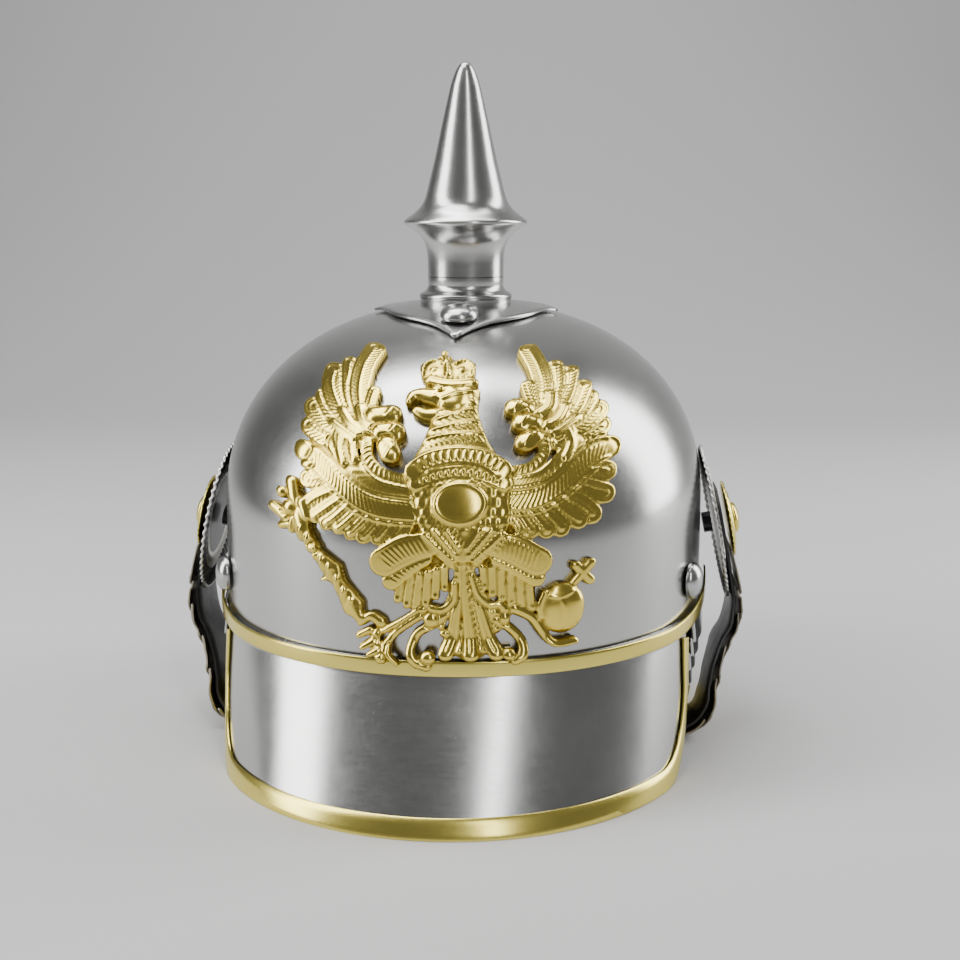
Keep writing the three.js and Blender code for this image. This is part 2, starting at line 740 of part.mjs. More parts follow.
function buildBuckle() {
  const middle = strapFrame(halfLoop).spot;
  const hole = [BUCKLE.hole / 2, LEATHER.thick / 2 + GAP];
  const rim = [hole[0] + BUCKLE.bar, hole[1] + BUCKLE.bar];
  const ring = (half, turnedIn) => {
    const shape = turnedIn ? new THREE.Path() : new THREE.Shape();
    shape.moveTo(-half[0], -half[1]);
    shape.lineTo(half[0], -half[1]);
    shape.lineTo(half[0], half[1]);
    shape.lineTo(-half[0], half[1]);
    shape.closePath();
    return shape;
  };
  const shape = ring(rim, false);
  shape.holes.push(ring(hole, true));
  const geometry = new THREE.ExtrudeGeometry(shape, { depth: BUCKLE.length, bevelEnabled: false });
  geometry.deleteAttribute('normal');
  geometry.deleteAttribute('uv');
  const merged = mergeVertices(geometry, 1e-4);
  merged.translate(0, 0, -BUCKLE.length / 2);
  merged.rotateX(Math.PI / 2);
  merged.rotateZ(Math.PI / 2);
  merged.translate(middle.x, middle.y, middle.z);
  add('strap_buckle', merged, 'brass');
}

// ---------------------------------------------------------------- the eagle plate
// The plate is laid out flat and then wrapped round the front of the skull: across is the
// distance to the side of the middle plane, up is the distance along the front's middle
// line above the band.
function frontLine() {
  const rows = 120;
  const wallRows = 40;
  const line = [];
  let up = 0;
  for (let k = 0; k <= rows; k += 1) {
    const dome = clamp((k - wallRows) / (rows - wallRows), 0, 0.999);
    const level = k < wallRows ? blend(EAGLE.footLevel, SKULL.widest, k / wallRows)
      : SKULL.widest + (SKULL.top - SKULL.widest) * Math.sin((Math.PI / 2) * dome);
    const point = skullRaw(0, level);
    up += k ? point.distanceTo(line[k - 1].point) : 0;
    line.push({ level, up, point });
  }
  return line;
}

const middleLine = frontLine();

function levelAtHeight(up) {
  if (up <= 0) {
    return EAGLE.footLevel + up;
  }
  const above = middleLine.findIndex((entry) => entry.up >= up);
  const [low, high] = [middleLine[above - 1], middleLine[above]];
  return blend(low.level, high.level, (up - low.up) / (high.up - low.up));
}

function wrapped(across, up) {
  const level = levelAtHeight(up);
  const edge = Math.abs(skullRaw(Math.PI / 2, level).x);
  const share = clamp((across + EAGLE.side) / edge, -1, 1);
  const angle = Math.asin(signedPower(share, SKULL.planPower / 2));
  return skull(angle, level, EAGLE.lift + EAGLE.thick / 2);
}

// A straight block, seen from the front as the wrapped outline.
function frontBlock(outline) {
  const points = outline.map(([across, up]) => {
    const spot = wrapped(across, up);
    return new THREE.Vector2(spot.x, spot.z);
  });
  const geometry = new THREE.ExtrudeGeometry(new THREE.Shape(points),
    { depth: SKULL.halfLength * 1.4, bevelEnabled: false, steps: 1 });
  geometry.deleteAttribute('normal');
  geometry.deleteAttribute('uv');
  const merged = mergeVertices(geometry, 1e-4);
  merged.rotateX(Math.PI / 2);
  return toManifold(merged);
}

// A feather or limb: square at the root and round at the tip.
function feather({ rootX, rootY, tipX, tipY, root, tip }) {
  const reach = Math.hypot(tipX - rootX, tipY - rootY);
  const [ax, ay] = [(tipX - rootX) / reach, (tipY - rootY) / reach];
  const spot = (along, side) => [rootX + ax * along - ay * side, rootY + ay * along + ax * side];
  const outline = [spot(0, -root / 2), spot(reach / 2, -(root + tip) / 4)];
  const turns = 4;
  for (let k = 0; k <= turns; k += 1) {
    const turn = blend(-90, 90, k / turns) * (Math.PI / 180);
    outline.push(spot(reach + (tip / 2) * Math.cos(turn), (tip / 2) * Math.sin(turn)));
  }
  outline.push(spot(reach / 2, (root + tip) / 4), spot(0, root / 2));
  return frontBlock(outline);
}

function oval({ x, y, halfX, halfY }) {
  const count = 12;
  return frontBlock(Array.from({ length: count }, (_, k) => {
    const turn = (2 * Math.PI * k) / count;
    return [x + halfX * Math.cos(turn), y + halfY * Math.sin(turn)];
  }));
}

const FEATHER_COLUMNS = ['rootX', 'rootY', 'tipX', 'tipY', 'root', 'tip'];
const OVAL_COLUMNS = ['x', 'y', 'halfX', 'halfY'];

function rowsOf(columns, table) {
  return table.map((row) => Object.fromEntries(columns.map((name, k) => [name, row[k]])));
}

const WING_FEATHERS = [
  [-24, 92, -27.5, 131, 7, 10.5], [-25, 92, -36.5, 121, 7, 9], [-26, 90, -42, 114, 8, 9.5],
  [-26, 88, -43, 105, 8, 9], [-26, 86, -48.5, 95.5, 9, 9.5], [-26, 82, -48, 87, 9, 9],
  [-24, 74, -49.5, 76, 9, 9], [-20, 68, -47, 67, 9, 8], [-12, 62, -43, 61, 10, 9],
  [-8, 60, -43, 53.5, 8, 7], [-8, 60, -36, 51.5, 8, 7.5], [-8, 60, -28.5, 49.5, 8, 8],
  [-4, 60, -21, 48, 8, 7.5], [0, 60, -13, 49, 10, 8],
  [38, 94, 32.5, 132, 7, 7], [40, 92, 41.5, 122, 7, 8], [42, 90, 48.5, 116, 8, 8.5],
  [42, 88, 54, 108, 8, 9], [42, 86, 58.5, 98, 9, 9.5], [42, 84, 61, 88, 9, 9],
  [42, 76, 64.5, 77, 10, 9.5], [40, 72, 63, 67, 9, 8.5], [34, 68, 62, 59, 9, 8],
  [30, 64, 56.5, 53, 8, 8], [28, 62, 49.5, 50.5, 8, 7.5], [26, 62, 42, 49.5, 8, 7.5],
  [24, 62, 34, 50, 8, 8],
];
const WING_MASSES = [
  [-24, 70, 20, 14], [-12, 63, 14, 10], [-18, 96, 5.5, 5], [-15.5, 87, 6, 6],
  [-17, 79, 5.5, 6.5], [46, 72, 17, 15], [33, 63, 14, 10], [29.5, 99, 4.8, 5],
  [33, 91.5, 5, 5.5], [36.5, 82, 6.5, 7], [32, 107, 3.2, 7], [-23, 104, 3, 6.5],
];
const BODY_LIMBS = [
  [2, 119, 1, 131, 3, 3], [-4, 110, 11, 110, 5, 5], [0, 106.5, -9, 103.5, 9, 6],
  [2, 99.5, -6, 96.5, 7, 5.5], [8, 106, 9, 74, 15, 34], [9, 76, 11, 56, 35, 30],
  [11, 60, 12, 36, 32, 24], [6, 44, -16, 38, 12, 11], [6, 38, -13.5, 31, 10, 9],
  [2, 32, -8, 24.5, 12, 10], [16, 44, 37.5, 38, 12, 11], [18, 36, 35, 31.5, 12, 11],
  [22, 36, 33, 24, 14, 9],
];
const BODY_MASSES = [
  [3, 119.5, 10.5, 8], [1, 131, 1.9, 1.9], [5, 104, 9.5, 7], [9, 72, 19, 14],
];
const LEG_LIMBS = [
  [-5, 26, -15, 16, 8, 5], [-12, 18, -24, 14, 5, 4], [-12, 15, -21, 7, 5, 4],
  [-12, 20, -18, 19, 5, 4], [4, 22, 2, 17, 10, 6], [30, 22, 40, 12, 7, 5],
  [40, 12.5, 50, 7.5, 4.5, 4], [36, 26, 42, 22, 7, 5], [24, 26, 27, 18, 10, 5],
];
const TAIL_LIMBS = [
  [9, 30, 1, 7, 6, 4], [10, 34, 5.5, 4.5, 5, 4.5], [11, 38, 10.5, 4, 5, 5],
  [12, 38, 15.5, 4, 5, 5], [13, 38, 20.5, 5, 5, 5], [14, 34, 25.5, 5.5, 6, 4.5],
  [2, 16, -5, 11, 4, 3.6], [-4, 12, -7.5, 5, 3.6, 3.6], [-7.5, 6, -4, 0.8, 3.6, 3.6],
  [-5, 0.6, 0.5, 0.3, 3.6, 3.4], [22, 17, 31, 11, 4, 3.6], [30.5, 12, 33.6, 6, 3.6, 3.6],
  [33.6, 6.5, 31, 2.6, 3.6, 3.6], [31.4, 2.6, 28.5, 3, 3.4, 3.4],
];
const TAIL_MASSES = [[-1, 3.2, 2.9, 2.9], [28.4, 4, 2.6, 2.6], [12, 20, 10, 12]];
const SCEPTRE_LIMBS = [
  [-48, 55, -53.5, 63.5, 6, 5], [-50, 53, -57.5, 58.5, 4, 4.4], [-50, 51, -59.5, 52.5, 6, 4.5],
  [-48, 49, -56, 46.5, 5, 4], [-50, 53, -42, 40, 6, 4.5], [-42, 40, -34, 29, 4.5, 6],
  [-38, 30, -30, 24, 5, 5], [-34, 29, -26, 18, 6, 6], [-26, 18, -18, 8, 5, 5],
  [-18, 8, -12, 1.6, 5, 4],
];
const SCEPTRE_MASSES = [[-48, 52, 5, 4.5], [-36, 34.5, 3.6, 4.6], [-28.5, 21.5, 3.6, 4.4],
  [-22.5, 10, 4.2, 5]];
const ORB_LIMBS = [[51, 36, 57.6, 28.6, 3.4, 3.4], [57.4, 36, 51.4, 29, 3.4, 3.4]];
const ORB_MASSES = [[48, 20.5, 8, 9.6]];

// A sheet that follows the front of the skull between two heights above it. Its low rows
// stand further off, so that the plate passes over the band.
function frontSheet(inner, outer) {
  const columns = 24;
  const rows = 13;
  const spread = THREE.MathUtils.degToRad(70);
  const foot = middleLine[0].level - 3.4;
  return toManifold(wall(columns, rows, (i, j, layer) => {
    const level = foot + (EAGLE.topLevel - foot) * (j / rows);
    const step = 1 - smooth(clamp((level - EAGLE.stepLevel) / EAGLE.stepLength, 0, 1));
    const out = (layer ? inner : outer) + EAGLE.step * step;
    return skull(spread * blend(-1, 1, i / columns), level, out);
  }));
}

function buildEagle() {
  const limbs = (table) => rowsOf(FEATHER_COLUMNS, table).map(feather);
  const masses = (table) => rowsOf(OVAL_COLUMNS, table).map(oval);
  const body = [...limbs(BODY_LIMBS), ...masses(BODY_MASSES), ...masses(ORB_MASSES)];
  const outline = [...body, ...limbs(WING_FEATHERS), ...masses(WING_MASSES),
    ...limbs(LEG_LIMBS), ...limbs(TAIL_LIMBS), ...masses(TAIL_MASSES),
    ...limbs(SCEPTRE_LIMBS), ...masses(SCEPTRE_MASSES), ...limbs(ORB_LIMBS)];
  const skin = frontSheet(EAGLE.lift, EAGLE.lift + EAGLE.thick);
  const boss = frontSheet(EAGLE.lift + EAGLE.thick / 2, EAGLE.lift + EAGLE.thick + EAGLE.rise);
  const { Manifold } = wasm;
  const flat = Manifold.union(outline).intersect(skin);
  const raised = Manifold.union(body).intersect(boss);
  add('eagle_plate', fromManifold(flat.add(raised)), 'brass');
}

buildSkull();
buildVisor();
buildVisorTrim();
buildGuard();
buildGuardTrim();
buildBand();
buildRivets();
buildPlate();
buildSpike();
buildCockades();
buildStrap();
buildScales();
buildBuckle();
buildEagle();

export default helmet;
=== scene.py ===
import bpy, bmesh
import math
import numpy as np
from mathutils import Matrix, Vector


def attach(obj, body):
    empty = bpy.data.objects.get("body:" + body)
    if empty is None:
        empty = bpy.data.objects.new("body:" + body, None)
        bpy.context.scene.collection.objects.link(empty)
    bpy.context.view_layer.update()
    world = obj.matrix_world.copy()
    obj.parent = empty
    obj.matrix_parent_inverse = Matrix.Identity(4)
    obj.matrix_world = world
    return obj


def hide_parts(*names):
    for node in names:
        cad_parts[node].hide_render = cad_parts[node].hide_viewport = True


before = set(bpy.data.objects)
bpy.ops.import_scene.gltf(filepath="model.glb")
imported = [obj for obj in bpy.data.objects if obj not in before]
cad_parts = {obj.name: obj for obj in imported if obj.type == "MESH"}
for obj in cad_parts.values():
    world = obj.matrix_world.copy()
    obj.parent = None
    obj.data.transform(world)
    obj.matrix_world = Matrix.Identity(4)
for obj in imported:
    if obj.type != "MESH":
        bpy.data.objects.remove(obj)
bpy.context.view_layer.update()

# Shapes are worked out in millimetres and scaled to metres when a piece is made.
MM = 0.001
SHEET = 1.2


# ---------------------------------------------------------------- small helpers
def place(side, forward, level):
    return Vector((side, -forward, level))


def mix(a, b, t):
    return a + (b - a) * t


def clamp(value, low=0.0, high=1.0):
    return min(high, max(low, value))


def ease(t):
    t = clamp(t)
    return t * t * (3 - 2 * t)


def signed_power(value, power):
    return math.copysign(abs(value) ** power, value)


def crowded(u):
    """From -1 to 1 as u goes from 0 to 1, with the steps crowded towards both ends."""
    return math.sin(math.pi / 2 * (2 * u - 1))


# ---------------------------------------------------------------- shader groups
def new_group(name, inputs, outputs):
    group = bpy.data.node_groups.new(name, "ShaderNodeTree")
    for label, kind, value in inputs:
        socket = group.interface.new_socket(label, in_out="INPUT", socket_type=kind)
        if value is not None:
            socket.default_value = value
    for label, kind in outputs:
        group.interface.new_socket(label, in_out="OUTPUT", socket_type=kind)
    start = group.nodes.new("NodeGroupInput")
    end = group.nodes.new("NodeGroupOutput")
    return group, start, end


class Wires:
    """Adds nodes to one tree and joins them."""

    def __init__(self, tree):
        self.tree = tree

    def node(self, kind, links=None, **settings):
        made = self.tree.nodes.new(kind)
        for key, value in settings.items():
            setattr(made, key, value)
        for key, value in (links or {}).items():
            self.feed(made.inputs[key], value)
        return made

    def feed(self, socket, value):
        if isinstance(value, bpy.types.NodeSocket):
            self.tree.links.new(value, socket)
        else:
            socket.default_value = value

    def math(self, operation, a, b=0.0, c=None, capped=False):
        made = self.tree.nodes.new("ShaderNodeMath")
        made.operation = operation
        made.use_clamp = capped
        self.feed(made.inputs[0], a)
        self.feed(made.inputs[1], b)
        if c is not None:
            self.feed(made.inputs[2], c)
        return made.outputs[0]

    def ramp(self, value, stops):
        made = self.tree.nodes.new("ShaderNodeValToRGB")
        band = made.color_ramp
        while len(band.elements) < len(stops):
            band.elements.new(0.5)
        for element, (spot, level) in zip(band.elements, stops):
            element.position = spot
            element.color = (level, level, level, 1)
        self.feed(made.inputs[0], value)
        return made.outputs[0]

    def noise(self, vector, scale, detail=3.0, rough=0.5, distortion=0.0):
        made = self.node("ShaderNodeTexNoise", {
            "Vector": vector, "Scale": scale, "Detail": detail,
            "Roughness": rough, "Distortion": distortion})
        return made.outputs["Fac"]

    def stretch(self, vector, scale, turn=(0.0, 0.0, 0.0)):
        made = self.node("ShaderNodeMapping", {
            "Vector": vector, "Scale": scale, "Rotation": turn})
        return made.outputs[0]

    def blend(self, factor, a, b):
        made = self.tree.nodes.new("ShaderNodeMix")
        made.data_type = "RGBA"
        self.feed(made.inputs[0], factor)
        self.feed(made.inputs[6], a)
        self.feed(made.inputs[7], b)
        return made.outputs[2]


def make_polish_group():
    """Hand-polished metal: fine scratches in two directions, soft cloudy haze and pits."""
    group, start, end = new_group(
        "hand_polish",
        [("Position", "NodeSocketVector", None), ("Scratch", "NodeSocketFloat", 1.0),
         ("Haze", "NodeSocketFloat", 1.0), ("Pitting", "NodeSocketFloat", 1.0)],
        [("Roughness Shift", "NodeSocketFloat"), ("Tone", "NodeSocketFloat"),
         ("Height", "NodeSocketFloat")])
    w = Wires(group)
    spot = start.outputs["Position"]
    along = w.noise(w.stretch(spot, (260, 260, 14)), 3.0, 4.0, 0.7)
    across = w.noise(w.stretch(spot, (16, 300, 300), (0.5, 0.4, 0.9)), 2.6, 3.0, 0.7)
    lines = w.math("MULTIPLY", w.math("ADD", along, across), 0.5)
    cloud = w.noise(spot, 22.0, 5.0, 0.55, 0.6)
    patches = w.noise(spot, 75.0, 4.0, 0.6)
    specks = w.node("ShaderNodeTexVoronoi", {"Vector": spot, "Scale": 260.0,
                                             "Randomness": 1.0}).outputs["Distance"]
    where = w.ramp(w.noise(spot, 34.0, 3.0, 0.6), [(0.56, 0.0), (0.68, 1.0)])
    pit = w.math("MULTIPLY", w.ramp(specks, [(0.06, 1.0), (0.13, 0.0)]), where)
    pit = w.math("MULTIPLY", pit, start.outputs["Pitting"])
    haze = w.math("MULTIPLY_ADD", cloud, 0.6, w.math("MULTIPLY", patches, 0.4))
    haze = w.math("MULTIPLY", w.math("SUBTRACT", haze, 0.5), start.outputs["Haze"])
    rub = w.math("MULTIPLY", w.math("SUBTRACT", lines, 0.5), start.outputs["Scratch"])
    shift = w.math("ADD", w.math("MULTIPLY_ADD", rub, 0.5, w.math("MULTIPLY", haze, 0.55)),
                   w.math("MULTIPLY", pit, 0.25))
    tone = w.math("SUBTRACT", w.math("MULTIPLY_ADD", haze, 0.22, 1.0),
                  w.math("MULTIPLY", pit, 0.35))
    height = w.math("SUBTRACT", w.math("MULTIPLY", rub, 0.5), pit)
    w.feed(end.inputs["Roughness Shift"], shift)
    w.feed(end.inputs["Tone"], tone)
    w.feed(end.inputs["Height"], height)
    return group


def make_ripple_group():
    """The slow unevenness of a hand-raised sheet, which bends long reflections."""
    group, start, end = new_group(
        "raised_sheet_ripple",
        [("Position", "NodeSocketVector", None), ("Size", "NodeSocketFloat", 14.0)],
        [("Height", "NodeSocketFloat")])
    w = Wires(group)
    slow = w.noise(start.outputs["Position"], start.outputs["Size"], 1.5, 0.4)
    w.feed(end.inputs["Height"], slow)
    return group


POLISH = make_polish_group()
RIPPLE = make_ripple_group()
SCRATCH_DEPTH = 0.00002


def start_material(name):
    material = bpy.data.materials.new(name)
    material.use_nodes = True
    tree = material.node_tree
    shader = tree.nodes["Principled BSDF"]
    w = Wires(tree)
    position = w.node("ShaderNodeTexCoord").outputs["Object"]
    return material, shader, w, position


def metal(name, colour, dark, rough, scratch=1.0, haze=1.0, pitting=1.0, ripple=0.0,
          ripple_size=14.0, painted_cavity_shade=None):
    """Polished metal. A piece's painted shade attribute, where it has one, paints shade into its
    hollows.
    """
    material, shader, w, position = start_material(name)
    shader.inputs["Metallic"].default_value = 1.0
    polish = w.node("ShaderNodeGroup", node_tree=POLISH)
    w.feed(polish.inputs["Position"], position)
    polish.inputs["Scratch"].default_value = scratch
    polish.inputs["Haze"].default_value = haze
    polish.inputs["Pitting"].default_value = pitting
    tone = polish.outputs["Tone"]
    roughness = w.math("ADD", polish.outputs["Roughness Shift"], rough)
    if painted_cavity_shade:
        # Painted shade: the hollows' colour is pulled towards the dark colour, and they are made
        # rougher.
        depth = w.node("ShaderNodeAttribute", attribute_name=painted_cavity_shade).outputs["Fac"]
        tone = w.math("MULTIPLY", tone, w.math("MULTIPLY_ADD", depth, -0.85, 1.0))
        roughness = w.math("MULTIPLY_ADD", depth, 0.3, roughness)
    tone = w.math("ADD", tone, 0.0, capped=True)
    w.feed(shader.inputs["Base Color"], w.blend(tone, (*dark, 1), (*colour, 1)))
    w.feed(shader.inputs["Roughness"], w.math("ADD", roughness, 0.0, capped=True))
    fine = w.node("ShaderNodeBump", {"Height": polish.outputs["Height"],
                                     "Distance": SCRATCH_DEPTH, "Strength": 0.5})
    if ripple:
        wave = w.node("ShaderNodeGroup", node_tree=RIPPLE)
        w.feed(wave.inputs["Position"], position)
        wave.inputs["Size"].default_value = ripple_size
        slow = w.node("ShaderNodeBump", {"Height": wave.outputs["Height"],
                                         "Distance": ripple, "Strength": 1.0})
        w.feed(fine.inputs["Normal"], slow.outputs[0])
    w.feed(shader.inputs["Normal"], fine.outputs[0])
    return material


def make_leather():
    material, shader, w, position = start_material("black_leather")
    grain = w.node("ShaderNodeTexVoronoi", {"Vector": position, "Scale": 900.0}).outputs[0]
    folds = w.noise(w.stretch(position, (1, 0.35, 1)), 160.0, 4.0, 0.6)
    wear = w.ramp(w.noise(position, 60.0, 5.0, 0.65), [(0.45, 0.0), (0.75, 1.0)])
    w.feed(shader.inputs["Base Color"],
           w.blend(wear, (0.004, 0.004, 0.0038, 1), (0.012, 0.011, 0.010, 1)))
    w.feed(shader.inputs["Roughness"], w.math("MULTIPLY_ADD", wear, 0.2, 0.38))
    height = w.math("MULTIPLY_ADD", grain, 0.6, folds)
    bump = w.node("ShaderNodeBump", {"Height": height, "Distance": 0.0002, "Strength": 0.5})
    w.feed(shader.inputs["Normal"], bump.outputs[0])
    return material


def make_cockade_paint():
    """Black lacquer with a white-metal ring. The metal shows through on ring and edge."""
    material, shader, w, position = start_material("cockade_lacquer")
    bare = w.node("ShaderNodeAttribute", attribute_name="bare").outputs["Fac"]
    chip = w.noise(position, 420.0, 3.0, 0.6)
    bare = w.ramp(w.math("MULTIPLY_ADD", chip, 0.3, w.math("SUBTRACT", bare, 0.15)),
                  [(0.42, 0.0), (0.55, 1.0)])
    w.feed(shader.inputs["Base Color"],
           w.blend(bare, (0.01, 0.01, 0.01, 1), (0.66, 0.65, 0.62, 1)))
    w.feed(shader.inputs["Metallic"], bare)
    w.feed(shader.inputs["Roughness"], w.math("MULTIPLY_ADD", chip, 0.2, 0.24))
    bump = w.node("ShaderNodeBump", {"Height": chip, "Distance": 0.0001, "Strength": 0.3})
    w.feed(shader.inputs["Normal"], bump.outputs[0])
    return material


STEEL = metal("polished_steel", (0.52, 0.52, 0.51), (0.34, 0.34, 0.335), 0.23,
              scratch=0.3, haze=0.3, pitting=0.35, ripple=0.0006, ripple_size=11.0)
TURNED_STEEL = metal("turned_steel", (0.50, 0.50, 0.49), (0.32, 0.32, 0.32), 0.24,
                     scratch=0.3, haze=0.3, pitting=0.2)
BLUED_STEEL = metal("blued_steel", (0.05, 0.05, 0.055), (0.02, 0.02, 0.02), 0.4)
BRASS = metal("polished_brass", (0.80, 0.67, 0.155), (0.60, 0.48, 0.09), 0.25,
              scratch=0.2, haze=0.12, pitting=0.08, ripple=0.0003, ripple_size=16.0)
OLD_METAL = metal("aged_scale_metal", (0.30, 0.27, 0.21), (0.10, 0.085, 0.06), 0.34,
                  scratch=0.3, haze=0.4, pitting=0.3)
# Its near-black second colour is partly painted shade for the relief's hollows, partly the
# polish's haze and pits.
EAGLE_GILT = metal("stamped_gilt", (0.85, 0.655, 0.125), (0.15, 0.095, 0.01), 0.18,
                   scratch=0.3, haze=0.25, pitting=0.12, painted_cavity_shade="painted_cavity_shade")
LEATHER = make_leather()
COCKADE_PAINT = make_cockade_paint()


# ---------------------------------------------------------------- making a piece
def finish(name, bm, material, node, thick=0.0, offset=-1.0, sharp=38.0):
    """Scales a mesh to metres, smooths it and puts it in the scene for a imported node."""
    bmesh.ops.scale(bm, vec=(MM, MM, MM), verts=bm.verts)
    mesh = bpy.data.meshes.new(name)
    bm.to_mesh(mesh)
    bm.free()
    mesh.shade_smooth()
    mesh.set_sharp_from_angle(angle=math.radians(sharp))
    mesh.materials.append(material)
    made = bpy.data.objects.new(name, mesh)
    bpy.context.scene.collection.objects.link(made)
    if thick:
        wall = made.modifiers.new("wall", "SOLIDIFY")
        wall.thickness = thick * MM
        wall.offset = offset
        wall.use_even_offset = True
    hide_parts(node)
    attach(made, "root")


def outward(bm, centre):
    """Turns the faces of a sheet away from a centre."""
    bm.normal_update()
    lean = sum(f.normal.dot(f.calc_center_median() - Vector(centre)) * f.calc_area()
               for f in bm.faces)
    if lean < 0:
        bmesh.ops.reverse_faces(bm, faces=bm.faces)


def laid_grid(columns, rows, point, centre=(0, 0, 90), weld=True):
    """A grid laid over a surface: point(u, v) gives the place for u and v from 0 to 1."""
    bm = bmesh.new()
    bm.loops.layers.uv.new("UVMap")
    bmesh.ops.create_grid(bm, x_segments=columns, y_segments=rows, size=0.5, calc_uvs=True)
    for vert in bm.verts:
        vert.co = point(vert.co.x + 0.5, vert.co.y + 0.5)
    if weld:
        bmesh.ops.remove_doubles(bm, verts=bm.verts, dist=1e-3)
    outward(bm, centre)
    return bm


def turned(profile, steps=72):
    """Spins a profile of (radius, height) round the Z axis and closes its poles."""
    bm = bmesh.new()
    verts = [bm.verts.new((radius, 0, height)) for radius, height in profile]
    edges = [bm.edges.new(pair) for pair in zip(verts, verts[1:])]
    bmesh.ops.spin(bm, geom=verts + edges, cent=(0, 0, 0), axis=(0, 0, 1),
                   angle=2 * math.pi, steps=steps, use_merge=True)
    bmesh.ops.remove_doubles(bm, verts=bm.verts, dist=1e-3)
    bmesh.ops.holes_fill(bm, edges=[e for e in bm.edges if e.is_boundary])
    bmesh.ops.recalc_face_normals(bm, faces=bm.faces)
    return bm


def flowing(points, per_span=4):
    """A smooth curve through (radius, height) points."""
    out = []
    last = len(points) - 1
    for k in range(last):
        before, a, b, after = (Vector(points[clamp(k + d, 0, last)]) for d in (-1, 0, 1, 2))
        for step in range(per_span):
            t = step / per_span
            out.append(tuple(0.5 * (2 * a + (b - before) * t
                                    + (2 * before - 5 * a + 4 * b - after) * t ** 2
                                    + (3 * a - before - 3 * b + after) * t ** 3)))
    out.append(tuple(points[-1]))
    return out


def stand_on(bm, spot, axis):
    """Moves a turned shape so that it stands at a place along an axis."""
    turn = Vector((0, 0, 1)).rotation_difference(axis).to_matrix().to_4x4()
    bm.transform(Matrix.Translation(spot) @ turn)


# ---------------------------------------------------------------- the skull's surface
RIM, WIDEST, TOP = 52.0, 101.0, 183.0          # levels above the floor
HALF_WIDTH, HALF_LENGTH = 102.6, 118.0
PLAN = 2.12                                    # superellipse power seen from above
DOME = 2.2                                     # superellipse power seen from the front
RIM_SHIFT = 4.0                                # how far forward the rim is set
DROOP, DROOP_BLEND = 0.08, 30.0                # the crown falls away towards the front
FLANGE_TOP, FLANGE_BEND, FLANGE_CLEAR = 57.6, 51.8, 0.4


def half_sizes(level):
    close = clamp((level - WIDEST) / (TOP - WIDEST))
    wide = HALF_WIDTH * (1 - close ** DOME) ** (1 / DOME)
    long = HALF_LENGTH * math.sqrt(1 - close ** 2)
    return wide, long, RIM_SHIFT * (1 - (level - RIM) / (TOP - RIM))


def drop_forward(forward, level):
    lean = (forward + math.hypot(forward, DROOP_BLEND)) / 2
    return DROOP * lean * clamp((level - RIM) / (TOP - RIM))


def skull_raw(angle, level):
    wide, long, shift = half_sizes(level)
    side = wide * signed_power(math.sin(angle), 2 / PLAN)
    forward = long * signed_power(math.cos(angle), 2 / PLAN) + shift
    return place(side, forward, level - drop_forward(forward, level))


def skull(angle, level, out=0.0):
    """A place on the skull, or off it by a distance along its normal."""
    if level > TOP - 0.01:
        return skull_raw(0, TOP) + Vector((0, -0.04, 1)).normalized() * out
    point = skull_raw(angle, level)
    if not out:
        return point
    step = 1e-3
    around = skull_raw(angle + step, level) - skull_raw(angle - step, level)
    high = min(level + step, TOP - 0.005)
    up = skull_raw(angle, high) - skull_raw(angle, high - 2 * step)
    return point + around.cross(up).normalized() * out


def angle_at(forward, level):
    """The angle round the skull at which a level's section reaches a place ahead."""
    low, high = 0.0, math.pi
    for _ in range(45):
        middle = (low + high) / 2
        if -skull_raw(middle, level).y > forward:
            low = middle
        else:
            high = middle
    return low


def crown_level(side, forward):
    """The section level of the dome over a place in plan."""
    low, high = WIDEST, TOP
    for _ in range(34):
        level = (low + high) / 2
        wide, long, shift = half_sizes(level)
        reach = (abs(side) / max(wide, 1e-6)) ** PLAN
        reach += (abs(forward - shift) / max(long, 1e-6)) ** PLAN
        if reach < 1:
            low = level
        else:
            high = level
    return low


def crown_at(side, forward, out=0.0):
    def height(s, f):
        level = crown_level(s, f)
        return level - drop_forward(f, level)
    step = 0.2
    z = height(side, forward)
    slope_side = (height(side + step, forward) - height(side - step, forward)) / (2 * step)
    slope_ahead = (height(side, forward + step) - height(side, forward - step)) / (2 * step)
    normal = Vector((-slope_side, slope_ahead, 1)).normalized()
    return place(side, forward, z) + normal * out


def build_skull():
    wall = 0.3

    def point(u, v):
        if v < wall:
            level = mix(RIM, WIDEST, v / wall)
        else:
            rise = math.sin(math.pi / 2 * (v - wall) / (1 - wall))
            level = WIDEST + (TOP - WIDEST) * rise
        return skull(2 * math.pi * (u % 1.0), level)
    bm = laid_grid(192, 70, point)
    finish("skull", bm, STEEL, "shell", thick=SHEET)


# ---------------------------------------------------------------- visor and neck guard
VISOR_REAR_TOP, VISOR_REAR_LOW = 58.5, 68.5    # how far ahead its rear edge is
VISOR_CENTRE, VISOR_HALF_WIDTH, VISOR_REACH = 52.0, 95.0, 99.6
VISOR_CORNER = 33.0
VISOR_TOP_ANGLE = angle_at(VISOR_REAR_TOP, FLANGE_BEND)
VISOR_LOW_ANGLE = math.acos((VISOR_REAR_LOW - VISOR_CENTRE) / VISOR_REACH)
EDGE_LEVEL = 1.6


def visor_mid(share, drop):
    top = skull(share * VISOR_TOP_ANGLE, FLANGE_BEND, FLANGE_CLEAR + SHEET / 2)
    low = share * VISOR_LOW_ANGLE
    bottom = place(VISOR_HALF_WIDTH * math.sin(low),
                   VISOR_CENTRE + VISOR_REACH * math.cos(low), EDGE_LEVEL)
    return top.lerp(bottom, drop)


def visor_edge_drop(share):
    """How far down its sheet the lower edge is, which rises in an arc at both corners."""
    from_rear = (1 - abs(share)) * VISOR_LOW_ANGLE * VISOR_REACH
    inside = clamp(VISOR_CORNER - from_rear, 0, VISOR_CORNER)
    rise = VISOR_CORNER - math.sqrt(VISOR_CORNER ** 2 - inside ** 2)
    return 1 - rise / (FLANGE_BEND - EDGE_LEVEL)


